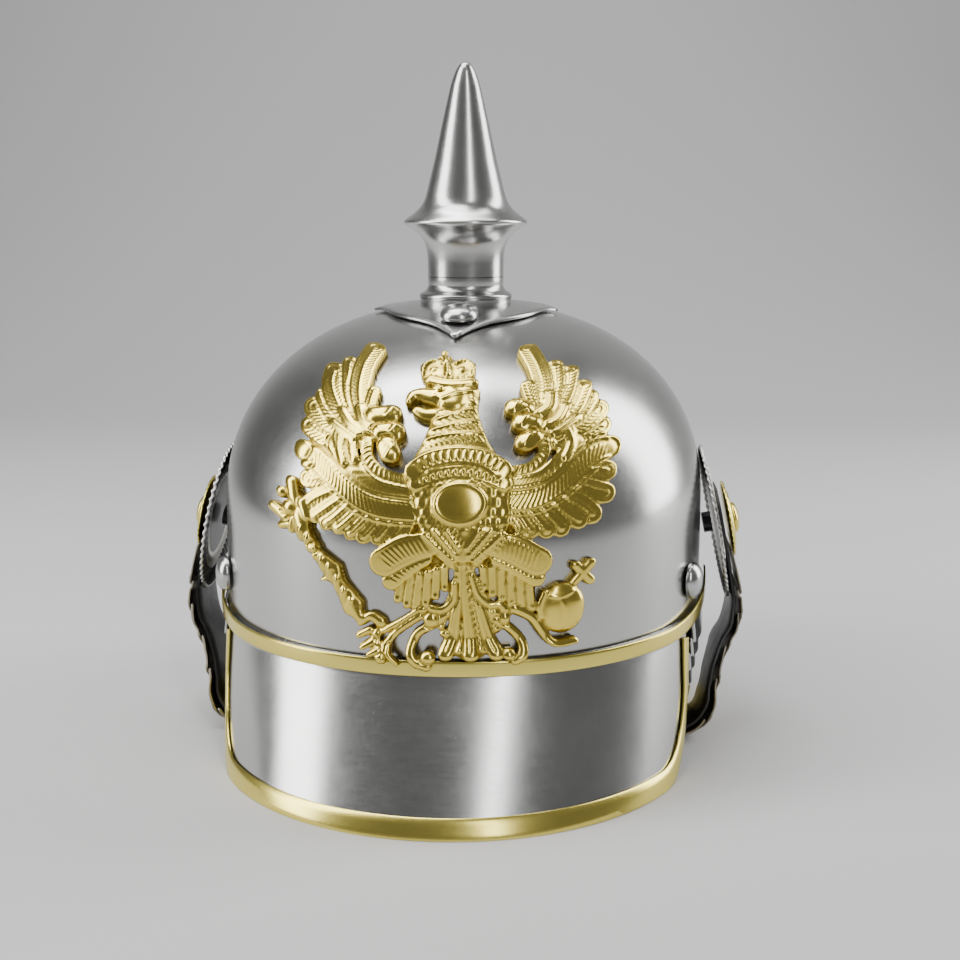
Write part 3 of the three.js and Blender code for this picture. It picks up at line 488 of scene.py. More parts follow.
GUARD_FRONT, GUARD_REACH, GUARD_HALF_WIDTH, GUARD_POWER = 48.0, 153.4, 97.0, 2.2
GUARD_FRONT_LEVEL, GUARD_RISE_FROM = 20.8, -40.0
GUARD_TOP_ANGLE = angle_at(GUARD_FRONT, FLANGE_BEND)
LAMES, LAME_STEP, PLAIN_FROM = 4, 1.4, 0.78


def guard_low_level(forward):
    rise = clamp((forward - GUARD_RISE_FROM) / (GUARD_FRONT - GUARD_RISE_FROM))
    return mix(EDGE_LEVEL, GUARD_FRONT_LEVEL, rise ** 1.5)


def guard_mid(share, drop):
    angle = mix(GUARD_TOP_ANGLE, 2 * math.pi - GUARD_TOP_ANGLE, share)
    top = skull(angle, FLANGE_BEND, FLANGE_CLEAR + SHEET / 2)
    low_start = math.asin((GUARD_FRONT / GUARD_REACH) ** (GUARD_POWER / 2))
    low = mix(-low_start, math.pi + low_start, share)
    forward = -GUARD_REACH * signed_power(math.sin(low), 2 / GUARD_POWER)
    side = GUARD_HALF_WIDTH * signed_power(math.cos(low), 2 / GUARD_POWER)
    bottom = place(side, forward, guard_low_level(forward))
    flare = drop ** 1.1
    return Vector((mix(top.x, bottom.x, flare), mix(top.y, bottom.y, flare),
                   mix(top.z, bottom.z, drop)))


def lame_out(drop):
    """How far the embossed lames stand out: each one steps back at its lower edge."""
    phase = (drop / PLAIN_FROM) * LAMES % 1
    return 0.0 if drop >= PLAIN_FROM else LAME_STEP * phase


def normal_of(sheet, share, drop):
    step = 1e-3
    s, d = clamp(share, -1 + step, 1 - step), clamp(drop, step, 1 - step)
    across = sheet(s + step, d) - sheet(s - step, d)
    down = sheet(s, d + step) - sheet(s, d - step)
    normal = across.cross(down).normalized()
    middle = sheet(s, d)
    return -normal if normal.dot(Vector((middle.x, middle.y, 0))) < 0 else normal


def build_visor():
    flange = 0.1

    def point(u, v):
        share = crowded(u)
        if v < flange:
            level = mix(FLANGE_TOP, FLANGE_BEND, v / flange)
            return skull(share * VISOR_TOP_ANGLE, level, FLANGE_CLEAR + SHEET / 2)
        drop = visor_edge_drop(share) * (v - flange) / (1 - flange)
        return visor_mid(share, drop)
    bm = laid_grid(128, 40, point, centre=(0, -40, 40))
    finish("front_visor", bm, STEEL, "visor", thick=SHEET, offset=0.0, sharp=60)


def build_guard():
    steps = [0.0, 0.2, 0.4, 0.6, 0.75, 0.86, 0.93, 0.985]
    drops = [-1.0, 0.0]
    for lame in range(LAMES):
        drops += [PLAIN_FROM * (lame + part) / LAMES for part in steps[1:]]
        drops.append(PLAIN_FROM * (lame + 1) / LAMES)
    drops += [0.84, 0.9, 0.95, 1.0]
    rows = len(drops) - 1

    def point(u, v):
        drop = drops[round(v * rows)]
        if drop < 0:
            angle = mix(GUARD_TOP_ANGLE, 2 * math.pi - GUARD_TOP_ANGLE, u)
            return skull(angle, FLANGE_TOP, FLANGE_CLEAR + SHEET / 2)
        return guard_mid(u, drop) + normal_of(guard_mid, u, drop) * lame_out(drop)
    bm = laid_grid(150, rows, point, centre=(0, 40, 60))
    finish("rear_guard", bm, STEEL, "neck_guard", thick=SHEET, offset=0.0,
           sharp=30)


# ---------------------------------------------------------------- folded brass edging
COVER, TRIM_INNER, TRIM_OUTER, TRIM_CLEAR = 5.8, 1.05, 1.85, 0.45
LIP, FOOT_LIP = 1.1, 2.4          # the fold is deeper where it stands on the floor
EDGING_TOP = 0.03                 # how far down the visor's sides the edging starts


def fold_section(lip):
    """The folded strip's section: distance into the sheet, distance off its middle."""
    deep = TRIM_OUTER
    half = [(COVER, deep - 0.3), (COVER - 0.4, deep), (COVER * 0.5, deep + 0.1), (0, deep),
            (-lip + 1.5, deep - 0.1), (-lip + 0.5, deep - 0.55), (-lip, deep - 1.3)]
    inside = [(-TRIM_CLEAR, -TRIM_INNER), (-TRIM_CLEAR, TRIM_INNER)]
    back = [(a, -b) for a, b in reversed(half)]
    return half + back + [(COVER, -TRIM_INNER)] + inside + [(COVER, TRIM_INNER)]


def folded_edge(name, points, normals, node):
    """A strip of brass folded over the edge of a sheet and cut level on the floor."""
    stops = []
    for i, edge in enumerate(points):
        along = (points[min(i + 1, len(points) - 1)] - points[max(i - 1, 0)]).normalized()
        stops.append([edge, normals[i].cross(along).normalized(), normals[i]])
    if stops[len(stops) // 2][1].z < 0:
        for stop in stops:
            stop[1] = -stop[1]
    count = len(fold_section(LIP))

    def point(u, v):
        edge, into, normal = stops[round(u * (len(stops) - 1))]
        along, out = fold_section(LIP + FOOT_LIP * into.z ** 2)[round(v * count) % count]
        spot = edge + into * along + normal * out
        return spot - into * (spot.z / into.z) if spot.z < 0 else spot
    bm = laid_grid(len(stops) - 1, count, point)
    bmesh.ops.holes_fill(bm, edges=[e for e in bm.edges if e.is_boundary])
    bmesh.ops.recalc_face_normals(bm, faces=bm.faces)
    finish(name, bm, BRASS, node, sharp=40)


def build_edgings():
    columns, side_rows = 150, 14
    sides = [mix(EDGING_TOP, visor_edge_drop(1), j / side_rows) for j in range(side_rows)]
    shares = [crowded(i / columns) for i in range(columns + 1)]
    round_visor = [(-1, drop) for drop in sides]
    round_visor += [(share, visor_edge_drop(share)) for share in shares]
    round_visor += [(1, drop) for drop in reversed(sides)]
    along_guard = [(i / columns, 1.0) for i in range(columns + 1)]
    for name, sheet, run, node in (
            ("visor_edging", visor_mid, round_visor, "visor_trim"),
            ("guard_edging", guard_mid, along_guard, "neck_guard_trim")):
        folded_edge(name, [sheet(*spot) for spot in run],
                    [normal_of(sheet, *spot) for spot in run], node)


BAND_LEVEL, BAND_HEIGHT = 55.0, 6.3
BAND_END, BAND_RISE_FROM, BAND_END_RISE = 10.0, 75.0, 11.0
# The strip's section: height as a share of its width, and distance off its back.
BAND_SECTION = [(-0.5, 0.0), (-0.5, 0.8), (-0.46, 0.95), (-0.3, 1.0), (0.0, 1.05),
                (0.3, 1.0), (0.46, 0.95), (0.5, 0.8), (0.5, 0.0)]


def build_band():
    end = angle_at(BAND_END, FLANGE_TOP)
    clear = FLANGE_CLEAR + SHEET + 0.3
    rows = len(BAND_SECTION) - 1

    def point(u, v):
        angle = end * crowded(u)
        forward = -skull_raw(angle, FLANGE_TOP).y
        rise = clamp((BAND_RISE_FROM - forward) / (BAND_RISE_FROM - BAND_END))
        height, out = BAND_SECTION[round(v * rows)]
        level = BAND_LEVEL + BAND_END_RISE * rise ** 1.6 + BAND_HEIGHT * height
        return skull(angle, level, clear + out)
    bm = laid_grid(200, rows, point)
    finish("front_strip", bm, BRASS, "front_band", sharp=60)


# ---------------------------------------------------------------- rivets and studs
HANDS = (("left", -1), ("right", 1))
RIVET_FORWARD, RIVET_LEVEL, RIVET_RADIUS, RIVET_RISE = 51.0, 72.8, 7.4, 5.3
PLATE_HALF_WIDTH, PLATE_HALF_LENGTH, PLATE_SHEET, PLATE_BULGE = 39.5, 54.0, 1.0, 0.16
STUD_FORWARD, STUD_RADIUS, STUD_RISE = 36.0, 7.8, 4.9


def dome_profile(radius, rise):
    """A low dome with a rounded rim, as (radius, height) from the foot's middle."""
    rim = [(0, 0), (radius * 0.84, 0), (radius * 0.97, rise * 0.06), (radius, rise * 0.18)]
    crown = []
    for i in range(1, 12):
        turn = math.pi / 2 * i / 12
        crown.append((radius * math.cos(turn) ** 0.92, rise * (0.2 + 0.8 * math.sin(turn))))
    return rim + crown + [(0, rise)]


def build_rivets():
    for name, hand in HANDS:
        angle = hand * angle_at(RIVET_FORWARD, RIVET_LEVEL)
        inside = skull(angle, RIVET_LEVEL)
        axis = (skull(angle, RIVET_LEVEL, 1.0) - inside).normalized()
        bm = turned(dome_profile(RIVET_RADIUS, RIVET_RISE), 56)
        stand_on(bm, inside + axis * 0.5, axis)
        finish(f"visor_rivet_{name}", bm, TURNED_STEEL, f"rivet_{name}")


def build_crown_plate():
    def point(u, v):
        angle = 2 * math.pi * (u % 1.0)
        side = math.sin(angle)
        ahead = math.cos(angle)
        to_edge = 1 / (abs(side) / PLATE_HALF_WIDTH + abs(ahead) / PLATE_HALF_LENGTH)
        to_edge *= 1 + PLATE_BULGE * math.sin(2 * angle) ** 2
        radius = to_edge * (1 - v) ** 1.2
        raised = 1.4 + 0.6 * (1 - v) ** 4
        return crown_at(radius * side, radius * ahead, raised)
    bm = laid_grid(144, 16, point, centre=(0, 0, 120))
    finish("crown_plate", bm, TURNED_STEEL, "spike_plate", thick=PLATE_SHEET)
    for name, forward in (("front", STUD_FORWARD), ("back", -STUD_FORWARD)):
        seat = crown_at(0, forward, 2.3)
        axis = (crown_at(0, forward, 4.3) - seat).normalized()
        bm = turned(dome_profile(STUD_RADIUS, STUD_RISE), 56)
        stand_on(bm, seat + axis * 0.1, axis)
        finish(f"crown_stud_{name}", bm, TURNED_STEEL, f"plate_stud_{name}")


# ---------------------------------------------------------------- spike
def build_spike():
    """Its outlines are (radius, level) from the foot to the tip."""
    neck = [(16.4, 193.2), (16.4, 197), (16.5, 201), (17.0, 205), (18.4, 208.8),
            (21.2, 212.0), (24.6, 214.3)]
    rim = [(26.0, 215.3), (26.5, 216.1), (26.2, 216.9), (25.0, 217.9)]
    cone = [(21.9, 220.2), (19.3, 222.8), (17.7, 225.6), (16.8, 228.4), (16.1, 231.2),
            (15.0, 235.6), (13.4, 242), (11.8, 249.2), (10.2, 256.6), (8.8, 262.6),
            (7.3, 269), (6.1, 273.8), (4.9, 277.2), (3.5, 280.3), (1.9, 282.3)]
    outline = flowing(neck + rim + cone + [(0, 283)], 4)
    bm = turned([(14.6, 193.2)] + outline, 96)
    finish("spike_cone", bm, TURNED_STEEL, "spike", sharp=50)
    foot = [(19.7, 181.2), (19.7, 183.6), (20.1, 184.6), (19.6, 185.7), (17.6, 186.9),
            (16.6, 188.2), (16.2, 189.2), (16.3, 190.2), (16.4, 191.5), (16.4, 192.9)]
    bm = turned([(17.0, 181.2)] + flowing(foot, 3) + [(0, 192.9)], 96)
    finish("spike_foot", bm, TURNED_STEEL, "spike_base", sharp=50)


# ---------------------------------------------------------------- cockades and rosettes
TILT = math.radians(11)
COCKADE_SIDE, COCKADE_FORWARD, COCKADE_LEVEL = 110.3, 5.0, 88.0
COCKADE_RIM, COCKADE_SHEET, PLEATS, PLEAT_NOTCH = 33.5, 0.9, 56, 1.0
KNOB_RADIUS, KNOB_RISE, SEAT_TO_KNOB = 6.6, 2.7, 2.7


def side_frame(hand):
    """The direction out of a cockade, the one down its face, and its face's middle."""
    out = Vector((hand * math.cos(TILT), 0, math.sin(TILT)))
    down = Vector((hand * math.sin(TILT), 0, -math.cos(TILT)))
    return out, down, place(hand * COCKADE_SIDE, COCKADE_FORWARD, COCKADE_LEVEL)


def cockade_height(radius, fold):
    """The outer face: flat under the rosette, then two pleated rings that fall away."""
    fall = 1.1 * ease((radius - 20) / 13.5)
    ring = 0.5 * (ease((radius - 17.4) / 0.8) - ease((radius - 24.4) / 0.8))
    depth = 0.55 * ease((radius - 17.5) / 4)
    return -fall + 0.5 * ring - depth * fold


def pleated_disc():
    def point(u, v):
        turn = 2 * math.pi * (u % 1.0)
        fold = abs((turn / (2 * math.pi) * PLEATS) % 1 - 0.5) * 2
        radius = (COCKADE_RIM - PLEAT_NOTCH * fold) * (1 - v)
        lift = cockade_height(radius, fold)
        return Vector((radius * math.cos(turn), radius * math.sin(turn), lift))
    bm = laid_grid(PLEATS * 4, 34, point, centre=(0, 0, -50))
    worn = bm.verts.layers.float.new("bare")
    for vert in bm.verts:
        radius = vert.co.xy.length
        ring = ease((radius - 17.2) / 0.5) - ease((radius - 24.6) / 0.5)
        vert[worn] = max(ring, ease((radius - 31.9) / 0.8))
    return bm


def milled_cup():
    """The rosette's stepped boss, with short strokes milled into its outer ring."""
    cup = flowing([(15.9, 0), (16.5, 0.5), (15.9, 1.1), (14.0, 1.2), (13.2, 1.0),
                   (12.2, 1.9), (10.6, 2.4), (8.4, 2.3), (7.4, 1.9)], 3)
    bm = turned([(0, 0)] + cup + [(0, 1.9)], 72)
    for vert in bm.verts:
        if 13.4 < vert.co.xy.length < 16.6 and vert.co.z > 0.4:
            vert.co.z += 0.18 * math.cos(36 * math.atan2(vert.co.y, vert.co.x))
    return bm


def build_cockades():
    for name, hand in HANDS:
        out, _, face = side_frame(hand)
        bm = pleated_disc()
        stand_on(bm, face, out)
        finish(f"cockade_disc_{name}", bm, COCKADE_PAINT, f"cockade_{name}",
               thick=COCKADE_SHEET, sharp=25)
        bm = milled_cup()
        stand_on(bm, face + out * ROSETTE_SEAT, out)
        finish(f"rosette_cup_{name}", bm, BRASS, f"rosette_{name}", sharp=45)
        bm = turned(dome_profile(KNOB_RADIUS, KNOB_RISE), 48)
        stand_on(bm, face + out * (ROSETTE_SEAT + SEAT_TO_KNOB), out)
        finish(f"rosette_screw_{name}", bm, BRASS, f"rosette_knob_{name}")
        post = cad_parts[f"cockade_post_{name}"]
        post.data.materials.clear()
        post.data.materials.append(BLUED_STEEL)


# ---------------------------------------------------------------- strap of chin scales
GAP = 0.3
LEATHER_THICK, LEATHER_TOP, LEATHER_LOW, LEATHER_END = 1.6, 34.0, 19.0, 15.0
SCALE_COUNT, SCALE_SHEET, SCALE_CLEAR, SCALE_LAP = 12, 0.8, 0.7, 1.42
FIRST_SCALE, FIRST_PITCH, LAST_PITCH = LEATHER_END + 10.5, 16.5, 12.5
FIRST_WIDTH, LAST_WIDTH = 38.0, 22.0
BUCKLE_SIZE, BUCKLE_SHEET = (12.0, 23.2, 4.4), 1.1
ROSETTE_SEAT = GAP + LEATHER_THICK + SCALE_CLEAR + SCALE_SHEET + 0.72


class StrapRoute:
    """The leather's middle line: down one side, across the floor and up the other."""

    # Down the face of the cockade: length along it, and how far it falls away from it.
    UPPER = [(-LEATHER_END, 0), (-4, 0), (8, 0), (18, 0), (26, 0.25), (33, 0.75)]
    # Under it: side, forward, level.
    LOWER = [(115.0, 8.5, 44.6), (110.9, 12, 36.2), (107.6, 16.3, 26.6),
             (105.3, 20.4, 17.8), (102.6, 24.3, 10.8), (97.6, 26.9, 6.2),
             (91.0, 27.9, 4.6), (82.0, 26.7, 4.3), (58.0, 21, 4.3), (30.0, 15.5, 4.3),
             (0.0, 13.5, 4.3)]
    STEPS = 1200

    def __init__(self):
        out, down, face = side_frame(1)
        middle = GAP + LEATHER_THICK / 2
        right = [face + out * (middle - fall) + down * along for along, fall in self.UPPER]
        right += [place(*spot) for spot in self.LOWER]
        left = [Vector((-p.x, p.y, p.z)) for p in reversed(right[:-1])]
        self.knots = right + left
        spans = len(self.knots) - 1
        samples = [self.spline(i / self.STEPS * spans) for i in range(self.STEPS + 1)]
        self.lengths = [0.0]
        for a, b in zip(samples, samples[1:]):
            self.lengths.append(self.lengths[-1] + (b - a).length)
        self.total = self.lengths[-1]

    def spline(self, spot):
        """A centripetal curve through the knots, with one span to each whole number."""
        knots = self.knots
        k = min(int(spot), len(knots) - 2)
        t = spot - k
        p1, p2 = knots[k], knots[k + 1]
        p0 = knots[k - 1] if k else p1 * 2 - p2
        p3 = knots[k + 2] if k + 2 < len(knots) else p2 * 2 - p1
        d0, d1, d2 = ((b - a).length ** 0.5 for a, b in ((p0, p1), (p1, p2), (p2, p3)))
        m1 = ((p1 - p0) / d0 - (p2 - p0) / (d0 + d1) + (p2 - p1) / d1) * d1
        m2 = ((p2 - p1) / d1 - (p3 - p1) / (d1 + d2) + (p3 - p2) / d2) * d1
        c2 = -3 * p1 + 3 * p2 - 2 * m1 - m2
        c3 = 2 * p1 - 2 * p2 + m1 + m2
        return p1 + m1 * t + c2 * t * t + c3 * t ** 3

    def at(self, length):
        """The place at a length from the right-hand end."""
        length = clamp(length, 0, self.total)
        low, high = 0, len(self.lengths) - 1
        while high - low > 1:
            middle = (low + high) // 2
            if self.lengths[middle] <= length:
                low = middle
            else:
                high = middle
        share = (length - self.lengths[low]) / (self.lengths[high] - self.lengths[low])
        return self.spline((low + share) / self.STEPS * (len(self.knots) - 1))

    def point(self, length, side, height):
        """A place beside the middle line and above the leather's middle."""
        spot = self.at(length)
        ahead = self.at(min(length + 0.05, self.total))
        behind = self.at(max(length - 0.05, 0))
        along = (ahead - behind).normalized()
        across = Vector((0, -1, 0))
        across = (across - along * across.dot(along)).normalized()
        return spot + across * side + across.cross(along).normalized() * height

    def from_end(self, length):
        return min(length, self.total - length)


STRAP = StrapRoute()


def build_leather():
    section = [(-0.5, -0.6), (-0.48, -0.95), (-0.3, -1), (0, -1), (0.3, -1), (0.48, -0.95),
               (0.5, -0.6), (0.5, 0.6), (0.48, 0.95), (0.3, 1), (0, 1), (-0.3, 1),
               (-0.48, 0.95), (-0.5, 0.6)]
    count = len(section)

    def point(u, v):
        length = u * STRAP.total
        gone = clamp((STRAP.from_end(length) - LEATHER_END)
                     / (STRAP.total / 2 - LEATHER_END))
        round_off = min(1.0, 0.62 + STRAP.from_end(length) / 18)
        width = mix(LEATHER_TOP, LEATHER_LOW, gone) * round_off
        side, height = section[round(v * count) % count]
        return STRAP.point(length, side * width, height * LEATHER_THICK / 2)
    bm = laid_grid(260, count, point)
    bmesh.ops.holes_fill(bm, edges=[e for e in bm.edges if e.is_boundary])
    bmesh.ops.recalc_face_normals(bm, faces=bm.faces)
    finish("strap_leather", bm, LEATHER, "chin_strap")


def build_scales():
    places = []
    start = FIRST_SCALE
    for k in range(SCALE_COUNT):
        share = k / (SCALE_COUNT - 1)
        pitch = mix(FIRST_PITCH, LAST_PITCH, share)
        places.append((start, pitch, mix(FIRST_WIDTH, LAST_WIDTH, share)))
        start += pitch
    for name, hand in reversed(HANDS):
        for k, (start, pitch, width) in enumerate(places):
            length = pitch * SCALE_LAP
            slope = (SCALE_SHEET + 0.33) / pitch

            def point(u, v):
                across = mix(-1, 1, v)
                reach = length * (1 - 0.3 * abs(across) ** 2.4)
                run = reach * u
                height = LEATHER_THICK / 2 + SCALE_CLEAR + slope * run
                rim = ease((u - 0.86) / 0.05) - ease((u - 0.95) / 0.05)
                beside = abs(across)
                side_rim = ease((beside - 0.86) / 0.05) - ease((beside - 0.96) / 0.04)
                height += SCALE_SHEET + 0.22 * max(rim, side_rim * ease((u - 0.3) / 0.2))
                height += 0.25 * ease((u - 0.25) / 0.3) * (1 - across ** 2)
                spot = STRAP.point(start + run, across * width / 2, height)
                return Vector((hand * spot.x, spot.y, spot.z))
            bm = laid_grid(28, 24, point, centre=(0, 0, 60), weld=False)
            label = f"{name}_{k + 1:02d}"
            finish(f"chin_scale_{label}", bm, OLD_METAL, f"scale_{label}",
                   thick=SCALE_SHEET, sharp=60)


def build_slide():
    """The plain loop that holds the two halves of the strap together."""
    middle = STRAP.at(STRAP.total / 2)
    bm = bmesh.new()
    bmesh.ops.create_cube(bm, size=1.0)
    bmesh.ops.scale(bm, vec=BUCKLE_SIZE, verts=bm.verts)
    ends = [f for f in bm.faces if abs(f.normal.x) > 0.9]
    bmesh.ops.delete(bm, geom=ends, context="FACES")
    bmesh.ops.solidify(bm, geom=bm.faces, thickness=BUCKLE_SHEET)
    bmesh.ops.recalc_face_normals(bm, faces=bm.faces)
    bmesh.ops.bevel(bm, geom=list(bm.edges), offset=0.3, segments=2, profile=0.5,
                    affect="EDGES", material=-1)
    bmesh.ops.translate(bm, vec=middle, verts=bm.verts)
    finish("strap_slide", bm, BRASS, "strap_buckle")


# ---------------------------------------------------------------- the eagle's relief
# The chart: x is the side of the middle line and y the way up the front of the skull from
# the foot of the plate, both in millimetres. Rows of a path are (x, y) places along it.
CELL = 0.42
CHART = (-66.0, 72.0, -3.5, 139.5)       # left, right, low and high edges
FOOT_LEVEL, EAGLE_SIDE = 56.4, -4.0      # it is mounted a little off the middle line
LIFT = 0.6                               # it lies clear of the skull
STEP, STEP_LEVEL, STEP_LENGTH = 3.2, 59.5, 9.0     # its foot clears the front band


class Relief:
    """A height map over the chart, in millimetres. Places below zero carry no metal."""

    def __init__(self):
        left, right, low, high = CHART
        self.columns = int((right - left) / CELL)
        self.rows = int((high - low) / CELL)
        self.x, self.y = np.meshgrid(left + CELL * np.arange(self.columns + 1),
                                     low + CELL * np.arange(self.rows + 1))
        self.height = np.full(self.x.shape, -1.0)

    def window(self, path, reach):
        spots = np.array(path, dtype=float)
        low = ((spots.min(axis=0) - reach - (CHART[0], CHART[2])) / CELL).astype(int)
        high = ((spots.max(axis=0) + reach - (CHART[0], CHART[2])) / CELL).astype(int) + 2
        low = np.maximum(low, 0)
        return slice(low[1], max(high[1], 0)), slice(low[0], max(high[0], 0))

    def track(self, path, reach):
        """Length along a smooth path, signed distance from it, and its whole length."""
        path = smooth_path(path)
        area = self.window(path, reach)
        x, y = self.x[area], self.y[area]
        best = np.full(x.shape, 1e9)
        run, side = np.zeros(x.shape), np.zeros(x.shape)
        gone = 0.0
        for (ax, ay), (bx, by) in zip(path, path[1:]):
            dx, dy = bx - ax, by - ay
            span = math.hypot(dx, dy)
            t = np.clip(((x - ax) * dx + (y - ay) * dy) / span ** 2, 0, 1)
            away = np.hypot(x - ax - t * dx, y - ay - t * dy)
            hand = np.sign(dx * (y - ay) - dy * (x - ax))
            near = away < best
            best = np.where(near, away, best)
            run = np.where(near, gone + t * span, run)
            side = np.where(near, away * hand, side)
            gone += span
        return area, run, side, gone

    def lay(self, area, inside, height, over=True):
        old = self.height[area]
        new = height if over else np.maximum(old, height)
        self.height[area] = np.where(inside, new, old)

    def limb(self, path, start, end, base=0.9, rise=2.0, round_power=2.0, over=False):
        area, run, side, total = self.track(path, max(start, end) + 1)
        half = start + (end - start) * run / total
        share = np.clip(np.abs(side) / half, 0, 1)
        crown = (1 - share ** round_power) ** 0.5
        self.lay(area, np.abs(side) < half, base + rise * crown, over)

    def blob(self, x, y, half_x, half_y, base=0.9, rise=2.5, over=False):
        area = self.window([(x, y)], max(half_x, half_y) + 1)
        share = np.hypot((self.x[area] - x) / half_x, (self.y[area] - y) / half_y)
        self.lay(area, share < 1, base + rise * np.sqrt(np.clip(1 - share ** 2, 0, 1)), over)

    def feather(self, path, start, end, base=1.0, rise=0.9, barbs=0.2, shaft=0.35):
        """A vane that lies over its neighbours, with a raised edge, a shaft and barbs."""
        area, run, side, total = self.track(path, max(start, end) + 1)
        t = run / total
        half = start + (end - start) * soft(t / 0.6)
        away = np.abs(side)
        share = np.clip(away / half, 0, 1)
        height = base + 0.5 * t + rise * (1 - share ** 4) ** 0.5
        height += 0.28 * bell(share - 0.82, 0.13) + shaft * bell(side, 0.55)
        comb = np.sin(2 * math.pi * (run - 0.9 * away) / 1.75)
        vane = soft((share - 0.08) / 0.15) * soft((0.78 - share) / 0.1)
        height += barbs * comb * vane * soft(run / 4)
        self.lay(area, away < half, height)

    def ridge(self, path, half=0.6, rise=0.6, pair=0.0):
        """Adds a raised line, or a pair of lines, to metal that is already there."""
        area, run, side, total = self.track(path, 3 * half + pair + 1)
        profile = bell(np.abs(side) - pair, half) if pair else bell(side, half)
        ends = soft(run / 1.5) * soft((total - run) / 1.5)
        self.height[area] += np.where(self.height[area] > 0, rise * profile * ends, 0)

    def strokes(self, path, reach, pitch=1.7, rise=0.55, slant=0.6, offset=0.0):
        """Adds a row of short raised strokes across a path."""
        area, run, side, total = self.track(path, reach + abs(offset) + 1)
        away = side - offset
        comb = np.clip(np.sin(2 * math.pi * (run + slant * away) / pitch), -0.3, 1)
        row = soft((reach - np.abs(away)) / 0.5)
        ends = soft(run / 1.5) * soft((total - run) / 1.5)
        self.height[area] += np.where(self.height[area] > 0, rise * comb * row * ends, 0)


def soft(t):
    """An eased step from 0 to 1, for arrays."""
    t = np.clip(t, 0, 1)
    return t * t * (3 - 2 * t)


def bell(distance, half):
    return np.exp(-(distance / half) ** 2)


def smooth_path(path, steps=5):
    if len(path) < 3:
        return path
    spots = [np.array(p, dtype=float) for p in path]
    spots = [2 * spots[0] - spots[1]] + spots + [2 * spots[-1] - spots[-2]]
    out = []
    for p0, p1, p2, p3 in zip(spots, spots[1:], spots[2:], spots[3:]):
        for k in range(steps):
            t = k / steps
            out.append(0.5 * (2 * p1 + (p2 - p0) * t + (2 * p0 - 5 * p1 + 4 * p2 - p3) * t ** 2
                              + (3 * p1 - p0 - 3 * p2 + p3) * t ** 3))
    out.append(spots[-2])
    return out


# Wing quills, from the outermost to the innermost: path, half width at root and tip.
LEFT_QUILLS = [
    ([(-34, 81), (-42, 83), (-48, 86)], 3.6, 4.6),
    ([(-31, 85), (-39.6, 89.6), (-47, 94.4)], 3.0, 5.6),
    ([(-30, 86), (-38.4, 93), (-43.6, 100.6)], 3.0, 5.0),
    ([(-29, 87), (-37.5, 97), (-41.8, 107), (-41.8, 114.6)], 3.0, 5.3),
    ([(-28, 89), (-33, 103), (-36, 120.5)], 2.6, 4.0),
    ([(-26, 89), (-30, 104), (-30, 119), (-27.2, 131.2)], 3.4, 4.9),
    ([(-25, 92), (-25, 99), (-24, 106)], 2.0, 2.7),
]
RIGHT_QUILLS = [
    ([(46, 82), (55, 83.4), (60.6, 86.4)], 3.6, 4.6),
    ([(45, 85), (53.6, 88.6), (59, 93.6)], 3.0, 5.4),
    ([(44, 86.6), (52, 93), (56, 100)], 3.0, 4.6),
    ([(44, 88), (50.5, 96), (54, 106)], 3.0, 4.2),
    ([(42, 91), (47, 103), (49, 115)], 3.0, 4.2),
    ([(41, 93), (44, 107), (43.4, 119.6)], 2.8, 3.8),
    ([(38, 94), (39.4, 107), (37, 120), (33, 131.6)], 3.2, 4.3),
    ([(37, 98), (35, 104), (33.4, 109.6)], 2.0, 2.9),
]
# The short feathers along the wings' lower edges: path, half width at root and tip.
LEFT_FAN = [
    ([(-38, 66), (-46.6, 65)], 2.8, 3.7),
    ([(-36, 62), (-43.6, 58), (-46.5, 55)], 2.8, 3.4),
    ([(-32, 60), (-39.5, 54.5), (-43, 51.8)], 2.6, 2.8),
    ([(-29, 58), (-35.5, 52), (-38.6, 49.8)], 2.6, 2.7),
    ([(-25, 56.5), (-31.4, 50.4), (-33.6, 48.6)], 2.5, 2.5),
    ([(-21, 55), (-27, 48.6), (-29, 47.2)], 2.5, 2.6),
    ([(-17, 54), (-22.6, 47.6), (-24.4, 46.4)], 2.5, 2.6),
    ([(-13, 53.5), (-17.6, 47.8), (-19, 46.4)], 2.5, 2.6),
    ([(-9, 53), (-12.6, 48.2), (-13.6, 46.8)], 2.5, 2.6),
    ([(-5, 53), (-7.6, 48.6), (-8.4, 47)], 2.4, 2.6),
    ([(-1, 53), (-2.4, 48.6), (-3, 47)], 2.4, 2.5),
]
RIGHT_FAN = [
    ([(54, 75), (60, 77.6), (64.2, 77.2)], 3.2, 4.6),
    ([(54, 69), (59.5, 68.9), (63, 68)], 3.0, 4.0),
    ([(50, 65), (58, 61.6), (62.4, 59.8)], 3.0, 4.0),
    ([(46, 61.5), (53.6, 57), (57.8, 53)], 3.0, 3.8),
    ([(43, 59.5), (49.4, 54), (53, 51.4)], 2.8, 3.3),
    ([(39, 58), (44, 52), (46.6, 49.4)], 2.8, 3.4),
    ([(35, 57), (39.4, 51.4), (41.4, 49.2)], 2.6, 3.3),
    ([(31, 56.5), (34.4, 51), (36, 49.2)], 2.6, 3.0),
    ([(27, 56), (29.4, 51.6), (30.6, 50)], 2.6, 2.9),
]
